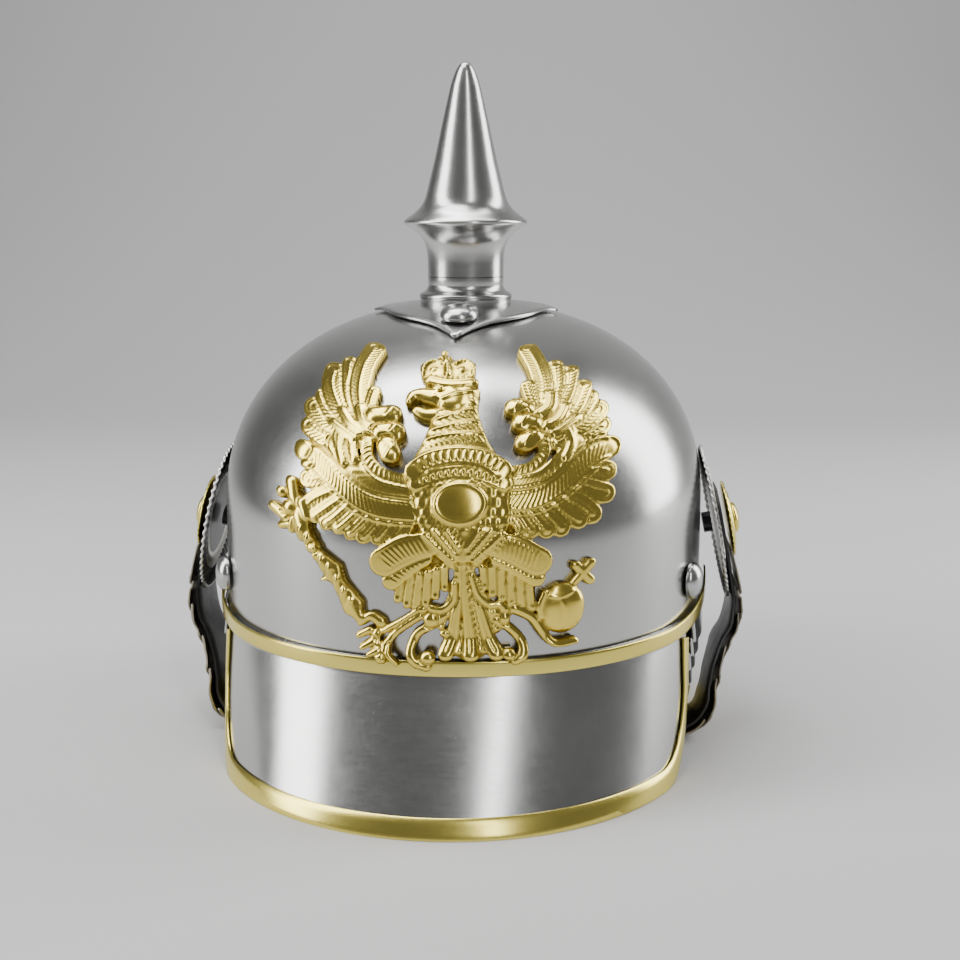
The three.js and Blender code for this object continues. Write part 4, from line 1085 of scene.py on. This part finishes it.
# Covert strips: path, half width at both ends, stroke pitch, slant.
COVERTS = [
    ([(-45, 73.4), (-38, 68.6), (-29, 61.8), (-19, 57.6), (-3, 56.4)], 4.4, 4.0, 1.7, 0.7),
    ([(-36, 80), (-28.5, 71.5), (-19.5, 65.2), (-6, 62.6)], 4.4, 3.2, 1.3, 1.2),
    ([(-24.5, 82), (-23.4, 75), (-18, 69.6), (-7, 67)], 2.5, 2.3, 2.0, 0.5),
    ([(63, 76.6), (56, 74), (48.5, 67.2), (41, 62), (33, 60), (24, 60.4)], 4.2, 3.8, 1.7, -0.7),
    ([(51, 80), (45.6, 72.4), (38, 67.4), (25, 66.4)], 4.2, 3.0, 1.4, -0.9),
    ([(39.6, 85), (40, 77.4), (36.6, 72.6), (31, 71), (25, 71.2)], 2.5, 2.2, 2.0, -0.5),
]
# Raised lines along the coverts: path, half the distance of a pair, or 0 for one line.
EDGES = [
    ([(-47.5, 79), (-41, 76.4), (-31, 67.2), (-21, 61.6), (-6, 60)], 0.85),
    ([(-46.5, 69.6), (-38, 63.8), (-28, 56.6), (-18, 53.4), (-4, 52.6)], 0.85),
    ([(-27.4, 83), (-26, 74), (-19.4, 67), (-7, 64.4)], 0.0),
    ([(-20.4, 82), (-20, 76), (-15.6, 71.4), (-8, 69.6)], 0.0),
    ([(65, 81), (59, 81.4), (52, 76), (44, 68), (36, 64.2), (26, 63.6)], 0.85),
    ([(65, 72.6), (60, 71), (53, 65.2), (45, 59.4), (36, 56.2), (26, 56.8)], 0.85),
    ([(43, 85), (43.2, 76), (38.6, 70), (31, 68.4), (24, 68.6)], 0.0),
    ([(37, 84), (37.4, 78), (34.4, 74.6), (29, 73)], 0.0),
]
# Small leaves among the coverts: path, half width at root and tip.
LEAVES = [
    ([(-35.4, 83.4), (-34.6, 78), (-32.4, 72)], 2.8, 1.4),
    ([(-30, 86), (-29.6, 80), (-28, 74)], 2.7, 1.8),
    ([(-38.6, 88.4), (-33, 84.6), (-30, 82.6)], 2.0, 2.0),
    ([(-35.6, 94.6), (-31.6, 89), (-27.6, 86)], 2.2, 2.4),
    ([(-28.6, 96.6), (-26.6, 91.4), (-23.6, 87.6)], 2.4, 2.8),
    ([(48.6, 86), (50, 80.6), (48, 74.6)], 2.6, 1.6),
    ([(51.6, 91), (47.4, 88), (44.4, 85.4)], 2.2, 2.6),
    ([(47.6, 96.6), (45.4, 91.6), (41.6, 88.6)], 2.4, 2.8),
    ([(42, 103.4), (41.4, 97.6), (38, 93.8)], 2.4, 2.8),
]
# Shoulder knobs, short fat lobes that overlap: path, half width at both ends.
KNOBS = [
    ([(-22.6, 94), (-16.6, 95.2)], 4.2, 4.5), ([(-19.6, 86.6), (-14.8, 87)], 4.0, 4.7),
    ([(-16.8, 80.6), (-15.4, 77.4)], 4.3, 4.3), ([(32.4, 97), (29.6, 98.6)], 4.3, 4.7),
    ([(35.6, 90), (32.4, 91.2)], 4.0, 4.5), ([(36, 84), (33.6, 82.2)], 3.8, 4.4),
]
# The coverts' round ends: x, y, half width, half height.
COVERT_ENDS = [(-50.2, 76, 4.0, 4.5), (-47.6, 70.4, 3.2, 2.1)]
# Sheet under the feathers, which closes their gaps: path, half width at both ends.
GROUND = [
    ([(-23, 88), (-32, 82), (-44, 79)], 6.0, 4.6), ([(-8, 60), (-26, 66), (-42, 72)], 8.0, 7.0),
    ([(37, 88), (48, 82), (60, 81)], 6.0, 4.6), ([(26, 61), (42, 66), (58, 73)], 8.0, 7.0),
    ([(12.4, 37), (13.2, 24), (14.6, 11)], 2.2, 8.6),
]
# Thighs and legs: path, half width at root and tip.
THIGH_FILL = [
    ([(2, 46), (-3, 36), (-4.6, 27)], 9.0, 6.6),
    ([(22, 46), (27, 37), (32, 27.6)], 9.0, 6.4),
]
TUFTS = [
    ([(0, 45.4), (-9, 42.6), (-16.4, 38.2)], 4.6, 5.6),
    ([(-2, 40.4), (-8, 36.6), (-13.6, 31.4)], 3.4, 3.6),
    ([(23, 45.6), (31, 42.6), (38.2, 38.4)], 4.6, 5.5),
    ([(25, 40.4), (32, 36.4), (37.6, 32.4)], 3.4, 3.6),
]
SHANKS = [
    ([(-9.6, 34), (-11.6, 24.6)], 1.7, 1.9), ([(-6.4, 34), (-8.2, 22.6)], 1.7, 1.8),
    ([(-3.4, 34), (-4.8, 21.4)], 1.7, 1.8), ([(-0.4, 35), (-1.4, 23)], 1.7, 1.7),
    ([(2.6, 36), (2.2, 26)], 1.7, 1.7), ([(5.6, 37), (5.6, 29)], 1.6, 1.5),
    ([(19, 37), (19.6, 29.6)], 1.6, 1.5), ([(22.4, 37), (22.6, 27)], 1.7, 1.7),
    ([(25.6, 36), (26, 25)], 1.7, 1.7), ([(28.8, 34), (29.4, 23)], 1.7, 1.8),
    ([(32, 33), (32.8, 21.6)], 1.7, 1.8), ([(35.2, 32), (36.4, 21)], 1.7, 1.9),
]
LEGS = [
    ([(-2.6, 21), (-9, 16.6), (-17, 12.2)], 2.0, 1.5),
    ([(-3.6, 18.4), (-11, 13), (-15.4, 8), (-16.6, 3.4)], 1.7, 1.6),
    ([(-14.6, 7), (-14.4, 4), (-11.2, 0.6)], 1.3, 1.1),
    ([(-19.6, 11), (-19, 6.6), (-17, 2)], 2.1, 2.0),
    ([(-25.6, 14.4), (-21.6, 17.4), (-18, 15.4)], 1.5, 2.4),
    ([(-26, 10), (-22, 12)], 1.5, 1.8), ([(-24, 6.2), (-20.6, 8.4)], 1.5, 1.8),
    ([(-21.4, 3.6), (-18.6, 5.4)], 1.3, 1.7),
    ([(30.6, 21), (36.6, 17.4), (40.6, 11.4), (44.6, 7.4), (51.4, 7.6)], 2.2, 1.6),
]
# The spread tail's ribs and the scrolls beside them: path, half width at root and tip.
TAIL = [
    ([(10.4, 38), (9.0, 29), (6.0, 21), (4.0, 15.4)], 1.2, 2.0),
    ([(14, 38), (18.6, 27), (23.2, 19), (23.6, 14.4)], 1.2, 2.5),
    ([(11.6, 38), (11.2, 25), (11, 13), (10.6, 7)], 0.9, 2.2),
    ([(13.2, 38), (15.6, 25), (18.4, 13), (19.4, 7.4)], 0.9, 2.2),
    ([(11, 38), (10, 25), (8.4, 12), (6, 5.4)], 0.9, 3.1),
    ([(13.8, 38), (17.2, 25), (20.8, 12), (23.8, 5.4)], 0.9, 3.1),
    ([(12.4, 38), (13.2, 24), (14.6, 11), (14.8, 5)], 0.9, 3.0),
]
SCROLLS = [
    ([(6, 19.6), (1.6, 15.6), (-4.2, 12), (-6.6, 6.4), (-5, 1.8), (-0.8, 0.2)], 1.8, 2.1),
    ([(9, 31), (8.6, 25), (5, 21.2), (1, 21.4)], 1.5, 1.8),
    ([(15, 34), (17.4, 27), (21.4, 23), (25.6, 22.6), (27.6, 19)], 1.4, 1.8),
    ([(24, 17), (29, 13.6), (33, 8.8), (32.8, 4.2), (30.4, 2.4)], 1.8, 2.1),
]
# Round buds at the ends of the scrolls: x, y, half width, half height.
BUDS = [
    (-0.2, 3.6, 2.9, 2.8), (0.6, 17, 3.0, 3.2), (28.2, 4.8, 2.4, 2.6),
    (27, 17.6, 2.1, 2.6), (5.6, 12.2, 2.2, 1.8),
]
# Sceptre and orb in the claws: path, half width at both ends.
SCEPTRE = [
    ([(-47.6, 46), (-43.4, 39.6)], 2.7, 2.2), ([(-42.4, 38.6), (-36.6, 33)], 2.2, 4.0),
    ([(-36.6, 33), (-33.4, 28)], 4.0, 2.6), ([(-33.4, 28), (-28.6, 20.6)], 2.6, 4.4),
    ([(-28.6, 20.6), (-25.6, 16.4)], 4.2, 2.2), ([(-38.4, 29.8), (-40.2, 29.2)], 1.2, 0.8),
    ([(-50, 52), (-48, 45)], 4.0, 3.2), ([(-53.6, 62.8), (-51.8, 56)], 2.8, 2.9),
    ([(-61.2, 52.8), (-55.6, 50.4)], 2.2, 2.4), ([(-57, 46.6), (-53.6, 47.6)], 1.8, 1.8),
    ([(-52.6, 45.6), (-52, 51)], 1.5, 1.6), ([(-48.4, 56), (-46.4, 51.4)], 2.4, 2.0),
]
# Its beads: x, y, half width, half height. Then the cross on the orb, as the sceptre.
SCEPTRE_BEADS = [(-57.6, 58.6, 2.4, 2.5), (-44.2, 40.4, 2.5, 2.4), (-54, 53.4, 3.2, 3.2)]
CROSS_ARMS = [([(51.4, 28.8), (57.8, 35.4)], 1.8, 2.1), ([(52.4, 35.2), (57.6, 29)], 1.9, 2.0)]
# The trunk's outline: level, middle, half width.
TRUNK = [(36, 12, 4), (40, 12, 9), (45, 12, 14), (52, 12, 16.4), (60, 11, 17), (68, 9.6, 17.6),
         (73, 9, 17.4), (78, 8.6, 14.6), (83, 8.2, 12.2), (88, 8, 10.6), (93, 7.8, 9.2),
         (98, 7.6, 8.4), (103, 7.4, 8.4), (108, 7.0, 9.4)]
# Paths of the neck's rows of feathers and of the breast's slanting ones.
NECK_ROWS = [
    [(-0.4, 96), (5, 98), (10, 101), (15, 103.4)], [(-1, 91.6), (5, 93.4), (11, 96), (16, 97.4)],
    [(-2.6, 87.2), (4, 88.6), (11, 90.6), (17.6, 91.4)],
    [(-4.4, 83), (3, 84.6), (12, 85.6), (19.6, 86.2)],
]
BREAST_ROWS = [
    [(-3, 50), (2.6, 44.6), (9.6, 38.6)], [(1, 51), (5.6, 46), (10.6, 40.6)],
    [(5.6, 51), (8.4, 47), (11.4, 43)], [(27, 50), (21.4, 44.6), (14.4, 38.6)],
    [(23, 51), (18.4, 46), (13.4, 40.6)], [(18.4, 51), (15.6, 47), (12.6, 43)],
]
# The two collars over the breast: path, half width, height.
COLLARS = [
    ([(-5, 66), (3, 69.2), (10.5, 70.2), (18, 69.2), (26, 66)], 2.8, 2.6),
    ([(-6, 70.6), (0, 74.8), (9.4, 76.6), (19, 75), (25.4, 70.8)], 3.7, 3.1),
]


def eagle_relief():
    sheet = Relief()
    for path, start, end in GROUND:
        sheet.limb(path, start, end, base=0.8, rise=0.3, over=True)
    for path, start, end in LEFT_QUILLS + RIGHT_QUILLS:
        sheet.feather(path, start, end, rise=1.1)
    for path, start, end in LEFT_FAN + RIGHT_FAN:
        sheet.feather(path, start, end, barbs=0.16)
    for path, start, end, pitch, slant in COVERTS:
        sheet.limb(path, start, end, base=1.5, rise=0.7, round_power=4.0, over=True)
        sheet.strokes(path, min(start, end) - 0.9, pitch, 0.34, slant)
    for path, pair in EDGES:
        sheet.ridge(path, 0.5 if pair else 0.7, 0.6, pair)
    for path, start, end in LEAVES:
        sheet.feather(path, start, end, base=1.7, barbs=0.0, shaft=0.25)
    for path, start, end in KNOBS:
        sheet.limb(path, start, end, base=1.2, rise=2.5, round_power=2.4, over=True)
        sheet.ridge([(path[1][0] - 1.6, path[1][1] - 3.4), path[1],
                     (path[1][0] + 1.6, path[1][1] + 3.4)], 0.9, 0.5)
    for x, y, half_x, half_y in COVERT_ENDS:
        sheet.blob(x, y, half_x, half_y, base=1.2, rise=1.6, over=True)
    for path, start, end in THIGH_FILL:
        sheet.limb(path, start, end, base=0.6, rise=0.6, over=True)
    for path, start, end in SHANKS:
        sheet.limb(path, start, end, base=1.1, rise=1.8, over=True)
        sheet.ridge(path, 0.4, -0.5)
    for path, start, end in reversed(TUFTS):
        sheet.feather(path, start, end, base=1.9, rise=1.3, barbs=0.0, shaft=0.0)
        sheet.strokes(path, min(start, end) - 1.4, 1.7, 0.34, 0.3)
    trunk_relief(sheet)
    head_relief(sheet)
    for path, start, end in TAIL:
        sheet.limb(path, start, end, base=1.0, rise=2.3, over=True)
        sheet.ridge(path, 0.5, -0.6)
    for path, start, end in SCROLLS + LEGS:
        sheet.limb(path, start, end, base=1.0, rise=2.0, over=True)
    for x, y, half_x, half_y in BUDS:
        sheet.blob(x, y, half_x, half_y, base=1.2, rise=2.2, over=True)
    for path, start, end in SCEPTRE:
        sheet.limb(path, start, end, base=1.0, rise=2.4)
    for x, y, half_x, half_y in SCEPTRE_BEADS:
        sheet.blob(x, y, half_x, half_y, base=1.0, rise=2.6, over=True)
    sheet.strokes([(-48.6, 48), (-43, 39.4), (-36, 31.6), (-29, 21)], 2.4, 4.6, 0.7, 0.9)
    for path, start, end in CROSS_ARMS:
        sheet.limb(path, start, end, base=1.0, rise=1.4)
    sheet.blob(47.4, 20, 8.4, 9.8, base=0.9, rise=3.8)
    sheet.ridge([(40.6, 25.6), (46, 25), (51.6, 27)], 0.6, 0.5)
    sheet.ridge([(46, 25), (47.4, 19), (46.4, 11.6)], 0.5, 0.3)
    sheet.limb([(41, 26.6), (39.4, 22), (39.8, 17.6)], 1.2, 1.5, base=1.6, rise=2.0)
    return sheet


def trunk_relief(sheet):
    """The scaled body, the neck's rows of feathers, the round shield and its collars."""
    levels, middles, halves = (np.array(column) for column in zip(*TRUNK))
    x, y = sheet.x, sheet.y
    share = np.abs(x - np.interp(y, levels, middles)) / np.interp(y, levels, halves)
    inside = (share < 1) & (y > levels[0]) & (y < levels[-1])
    chest = 1.2 + 2.6 * np.sqrt(np.clip(1 - share ** 2, 0, 1))
    belly = np.where(y < 50, np.maximum(sheet.height, chest), chest)
    sheet.height = np.where(inside, belly, sheet.height)
    row = np.floor(y / 3.4)
    scale = np.hypot((x / 3.6 + 0.5 * (row % 2)) % 1 - 0.5, 0.6 * (y / 3.4 - row) - 0.3)
    scales = 0.5 * soft((0.56 - scale) / 0.5) * inside * soft((y - 48) / 3) * soft((74 - y) / 3)
    sheet.height += scales
    for path in NECK_ROWS:
        sheet.ridge(path, 0.6, 0.8)
        sheet.strokes(path, 1.4, 2.1, 0.7, 0.7, offset=-2.2)
    for path in BREAST_ROWS:
        sheet.ridge(path, 0.7, 0.8)
        sheet.strokes(path, 1.2, 1.9, 0.4, 0.4, offset=1.6)
    share = np.hypot((x - 10.8) / 10.2, (y - 59) / 7.8)
    plate = 3.6 + 1.5 * np.sqrt(np.clip(1 - share ** 2, 0, 1)) + 0.7 * bell(share - 0.86, 0.07)
    sheet.height = np.where(share < 1, plate, sheet.height)
    for path, half, base in COLLARS:
        sheet.limb(path, half, half, base=base, rise=1.1, round_power=5.0, over=True)
        sheet.strokes(path, half - 1.7, 2.7, 0.5, 0.0)
        sheet.ridge(path, 0.4, 0.5, pair=half - 0.75)


def head_relief(sheet):
    sheet.limb([(6, 103.6), (4.4, 105.2), (3, 106)], 7.4, 5.6, base=1.2, rise=2.8, over=True)
    sheet.limb([(11.6, 101), (10, 106), (9, 109)], 4.6, 5.2, base=1.2, rise=2.4)
    beak = [(-1.6, 104.8), (-6, 105.4), (-8.8, 104.4), (-10.2, 101.4)]
    sheet.limb(beak, 4.9, 1.9, base=1.0, rise=2.6)
    sheet.limb([(0.6, 96), (-3.6, 95.6), (-7, 97.2)], 3.6, 2.2, base=0.9, rise=2.2)
    sheet.ridge([(-9.4, 100.8), (-4, 100.4), (1.4, 98.6)], 0.8, -2.2)
    sheet.ridge([(-2.4, 108), (1.6, 109.2), (6, 108)], 0.6, 0.6)
    sheet.ridge([(-1.6, 104.4), (2, 102.2), (7.4, 104.4), (14.6, 106.6)], 0.6, 0.6)
    sheet.blob(1.5, 106.4, 1.1, 1.0, base=2.4, rise=-0.4, over=True)
    # The crown: round cap, ring, arches and the ball on top.
    sheet.blob(3.2, 119, 10.9, 8.4, base=0.9, rise=1.7, over=True)
    sheet.blob(-3, 121.6, 5.2, 5.0, base=1.0, rise=1.5)
    sheet.blob(8.8, 121.6, 5.4, 5.2, base=1.0, rise=1.5)
    sheet.limb([(-3.4, 113), (4, 110.8), (13, 111.6)], 2.4, 2.6, base=1.6, rise=2.0, over=True)
    sheet.ridge([(-4.6, 112.8), (4, 110.6), (14, 111.4)], 0.5, 0.6, pair=1.3)
    for arch in ([(-6.4, 115.4), (-6.2, 121), (-2.6, 124.8), (1.6, 122)],
                 [(13, 114.4), (12.8, 121), (9, 125), (4.4, 122)],
                 [(3, 114), (3.2, 118), (2.4, 124)]):
        sheet.ridge(arch, 1.0, 1.2)
        sheet.strokes(arch, 0.8, 1.9, 0.5, 0.0)
    sheet.strokes([(-5.6, 116), (3.4, 114.4), (12.6, 115.2)], 0.9, 2.0, 0.8, 0.0)
    for x in (-2.4, 8.2):
        sheet.blob(x, 119.4, 1.7, 2.2, base=1.6, rise=1.4)
    sheet.limb([(2.2, 124), (1.4, 128)], 1.6, 1.0, base=1.4, rise=2.0)
    sheet.blob(1.0, 130.6, 1.7, 1.9, base=1.2, rise=1.8)
    sheet.limb([(-0.8, 127.6), (3.4, 127.6)], 0.8, 0.8, base=1.2, rise=1.4)


def blurred(field, spread):
    """The field smoothed by a bell of the given spread in millimetres."""
    reach = max(1, int(3 * spread / CELL))
    weights = np.exp(-0.5 * (np.arange(-reach, reach + 1) * CELL / spread) ** 2)
    weights /= weights.sum()
    for axis in (0, 1):
        field = np.apply_along_axis(lambda row: np.convolve(row, weights, "same"), axis, field)
    return field


def chart_places(side, up, out):
    """Places on the front of the skull for chart coordinates and a height off the sheet."""
    side = side + EAGLE_SIDE
    levels = np.concatenate([np.linspace(RIM, WIDEST, 60), WIDEST + (TOP - WIDEST - 0.3)
                             * np.sin(np.linspace(0, math.pi / 2, 240))[1:]])
    line = np.array([skull_raw(0, level) for level in levels])
    length = np.concatenate([[0], np.cumsum(np.linalg.norm(np.diff(line, axis=0), axis=1))])
    length -= np.interp(FOOT_LEVEL, levels, length)

    def surface(x, level):
        close = np.clip((level - WIDEST) / (TOP - WIDEST), 0, 1)
        wide = HALF_WIDTH * (1 - close ** DOME) ** (1 / DOME)
        long = HALF_LENGTH * np.sqrt(1 - close ** 2)
        share = np.clip(np.abs(x) / wide, 0, 0.9999)
        height = (level - RIM) / (TOP - RIM)
        ahead = long * (1 - share ** PLAN) ** (1 / PLAN) + RIM_SHIFT * (1 - height)
        lean = (ahead + np.hypot(ahead, DROOP_BLEND)) / 2
        return np.stack([x, -ahead, level - DROOP * lean * np.clip(height, 0, 1)], axis=-1)
    level = np.interp(up, length, levels)
    step = 0.05
    around = surface(side + step, level) - surface(side - step, level)
    rise = surface(side, level + step) - surface(side, level - step)
    normal = np.cross(around, rise)
    normal /= np.linalg.norm(normal, axis=1, keepdims=True)
    rest = 1 - soft((level - STEP_LEVEL) / STEP_LENGTH)
    return surface(side, level) + normal * (out + LIFT + STEP * rest)[:, None]


# Where the whole sheet swells, at the wings and the breast: middle, spread, height.
SWELLS = [(-24, 70, 22, 18, 1.2), (42, 72, 22, 18, 1.2), (10, 62, 16, 22, 0.8)]


def build_eagle():
    sheet = eagle_relief()
    metal_there = sheet.height > 0
    weight = blurred(metal_there.astype(float), 0.3)
    height = blurred(np.where(metal_there, sheet.height, 0), 0.3) / np.maximum(weight, 0.05)
    x, y = sheet.x, sheet.y
    for middle_x, middle_y, spread_x, spread_y, swell in SWELLS:
        far = ((x - middle_x) / spread_x) ** 2 + ((y - middle_y) / spread_y) ** 2
        height += swell * np.exp(-far)
    filled = np.where(metal_there, height, 0.0)
    # Painted shade: the further a place lies below the blurred height around it, the darker its
    # gilt is painted.
    cavity_shade = np.clip((blurred(filled, 1.1) / np.maximum(blurred(metal_there * 1.0, 1.1), 0.2)
                      - height) * 1.5 + 0.10, 0, 1)
    bm = bmesh.new()
    bmesh.ops.create_grid(bm, x_segments=sheet.columns, y_segments=sheet.rows, size=0.5)
    depth = bm.verts.layers.float.new("painted_cavity_shade")
    for vert in bm.verts:
        column = round((vert.co.x + 0.5) * sheet.columns)
        row = round((vert.co.y + 0.5) * sheet.rows)
        vert.co = (x[row, column], y[row, column], height[row, column])
        vert[depth] = cavity_shade[row, column]
    empty = []
    for face in bm.faces:
        middle = face.calc_center_median()
        row = int((middle.y - CHART[2]) / CELL)
        column = int((middle.x - CHART[0]) / CELL)
        if metal_there[row:row + 2, column:column + 2].sum() < 3:
            empty.append(face)
    bmesh.ops.delete(bm, geom=empty, context="FACES")
    rim = [v for v in bm.verts if v.is_boundary]
    for _ in range(3):
        bmesh.ops.smooth_vert(bm, verts=rim, factor=0.5, use_axis_x=True, use_axis_y=True)
    edges = [e for e in bm.edges if e.is_boundary]
    made = bmesh.ops.extrude_edge_only(bm, edges=edges)["geom"]
    for vert in made:
        if isinstance(vert, bmesh.types.BMVert):
            vert.co.z = -0.3
            # The plate's cut edge, turned down to the skull, gets painted shade too.
            vert[depth] = 0.8
    spots = np.array([v.co for v in bm.verts])
    for vert, spot in zip(bm.verts, chart_places(*spots.T)):
        vert.co = spot
    finish("embossed_eagle", bm, EAGLE_GILT, "eagle_plate", sharp=70)


build_skull()
build_visor()
build_guard()
build_edgings()
build_band()
build_rivets()
build_crown_plate()
build_spike()
build_cockades()
build_leather()
build_scales()
build_slide()
build_eagle()


# ---------------------------------------------------------------- floor, light, camera
def stage_floor():
    """A pale floor that sweeps up behind the helmet without a corner."""
    profile = [(-4.0, 0.0), (-1.0, 0.0), (0.9, 0.0)]
    for k in range(1, 17):
        turn = math.pi / 2 * k / 16
        profile.append((0.9 + 0.9 * math.sin(turn), 0.9 - 0.9 * math.cos(turn)))
    profile.append((1.8, 3.0))
    rows = len(profile) - 1
    bm = bmesh.new()
    bmesh.ops.create_grid(bm, x_segments=1, y_segments=rows, size=0.5)
    for vert in bm.verts:
        depth, height = profile[round((vert.co.y + 0.5) * rows)]
        vert.co = (vert.co.x * 8.0, depth, height)
    mesh = bpy.data.meshes.new("floor")
    bm.to_mesh(mesh)
    bm.free()
    mesh.shade_smooth()
    floor = bpy.data.objects.new("floor", mesh)
    bpy.context.scene.collection.objects.link(floor)
    material, shader, _, _ = start_material("floor_paper")
    shader.inputs["Base Color"].default_value = (0.5, 0.5, 0.5, 1)
    shader.inputs["Roughness"].default_value = 0.7
    mesh.materials.append(material)


def soft_light(name, spot, aim, size, power):
    data = bpy.data.lights.new(name, "AREA")
    data.shape = "RECTANGLE"
    data.size, data.size_y = size
    data.energy = power
    lamp = bpy.data.objects.new(name, data)
    lamp.location = spot
    lamp.rotation_euler = (Vector(aim) - Vector(spot)).to_track_quat("-Z", "Y").to_euler()
    bpy.context.scene.collection.objects.link(lamp)


HELMET_MIDDLE = (0, 0, 0.12)
# Name, place and aim in metres, size, power in watts.
LIGHTS = [
    ("left_panel", (-1.0, -0.3, 0.7), HELMET_MIDDLE, (0.5, 1.35), 18),
    ("front_strip", (0.5, -1.25, 0.95), HELMET_MIDDLE, (0.16, 1.3), 7),
    ("right_strip", (0.98, 0.4, 0.6), HELMET_MIDDLE, (0.5, 1.2), 15),
    ("top_panel", (-0.25, 0.0, 1.2), (0, 0, 0.1), (0.7, 0.6), 9),
    ("back_wash", (0.0, 0.5, 1.9), (0, 1.4, 0.4), (1.4, 0.5), 14),
]

stage_floor()
for light in LIGHTS:
    soft_light(*light)

world = bpy.data.worlds.new("studio")
world.use_nodes = True
background = world.node_tree.nodes["Background"]
background.inputs["Color"].default_value = (0.5, 0.5, 0.5, 1)
background.inputs["Strength"].default_value = 0.3
bpy.context.scene.world = world

EYE = (0.05109, -0.66394, 0.223)
EYE_TILT, EYE_TURN, EYE_LENS = math.radians(79.82), math.radians(3.87), 57.26

camera_data = bpy.data.cameras.new("camera")
camera_data.lens = EYE_LENS
camera_data.sensor_width = 36
camera = bpy.data.objects.new("camera", camera_data)
camera.location = EYE
camera.rotation_euler = (EYE_TILT, 0, EYE_TURN)
bpy.context.scene.collection.objects.link(camera)
bpy.context.scene.camera = camera
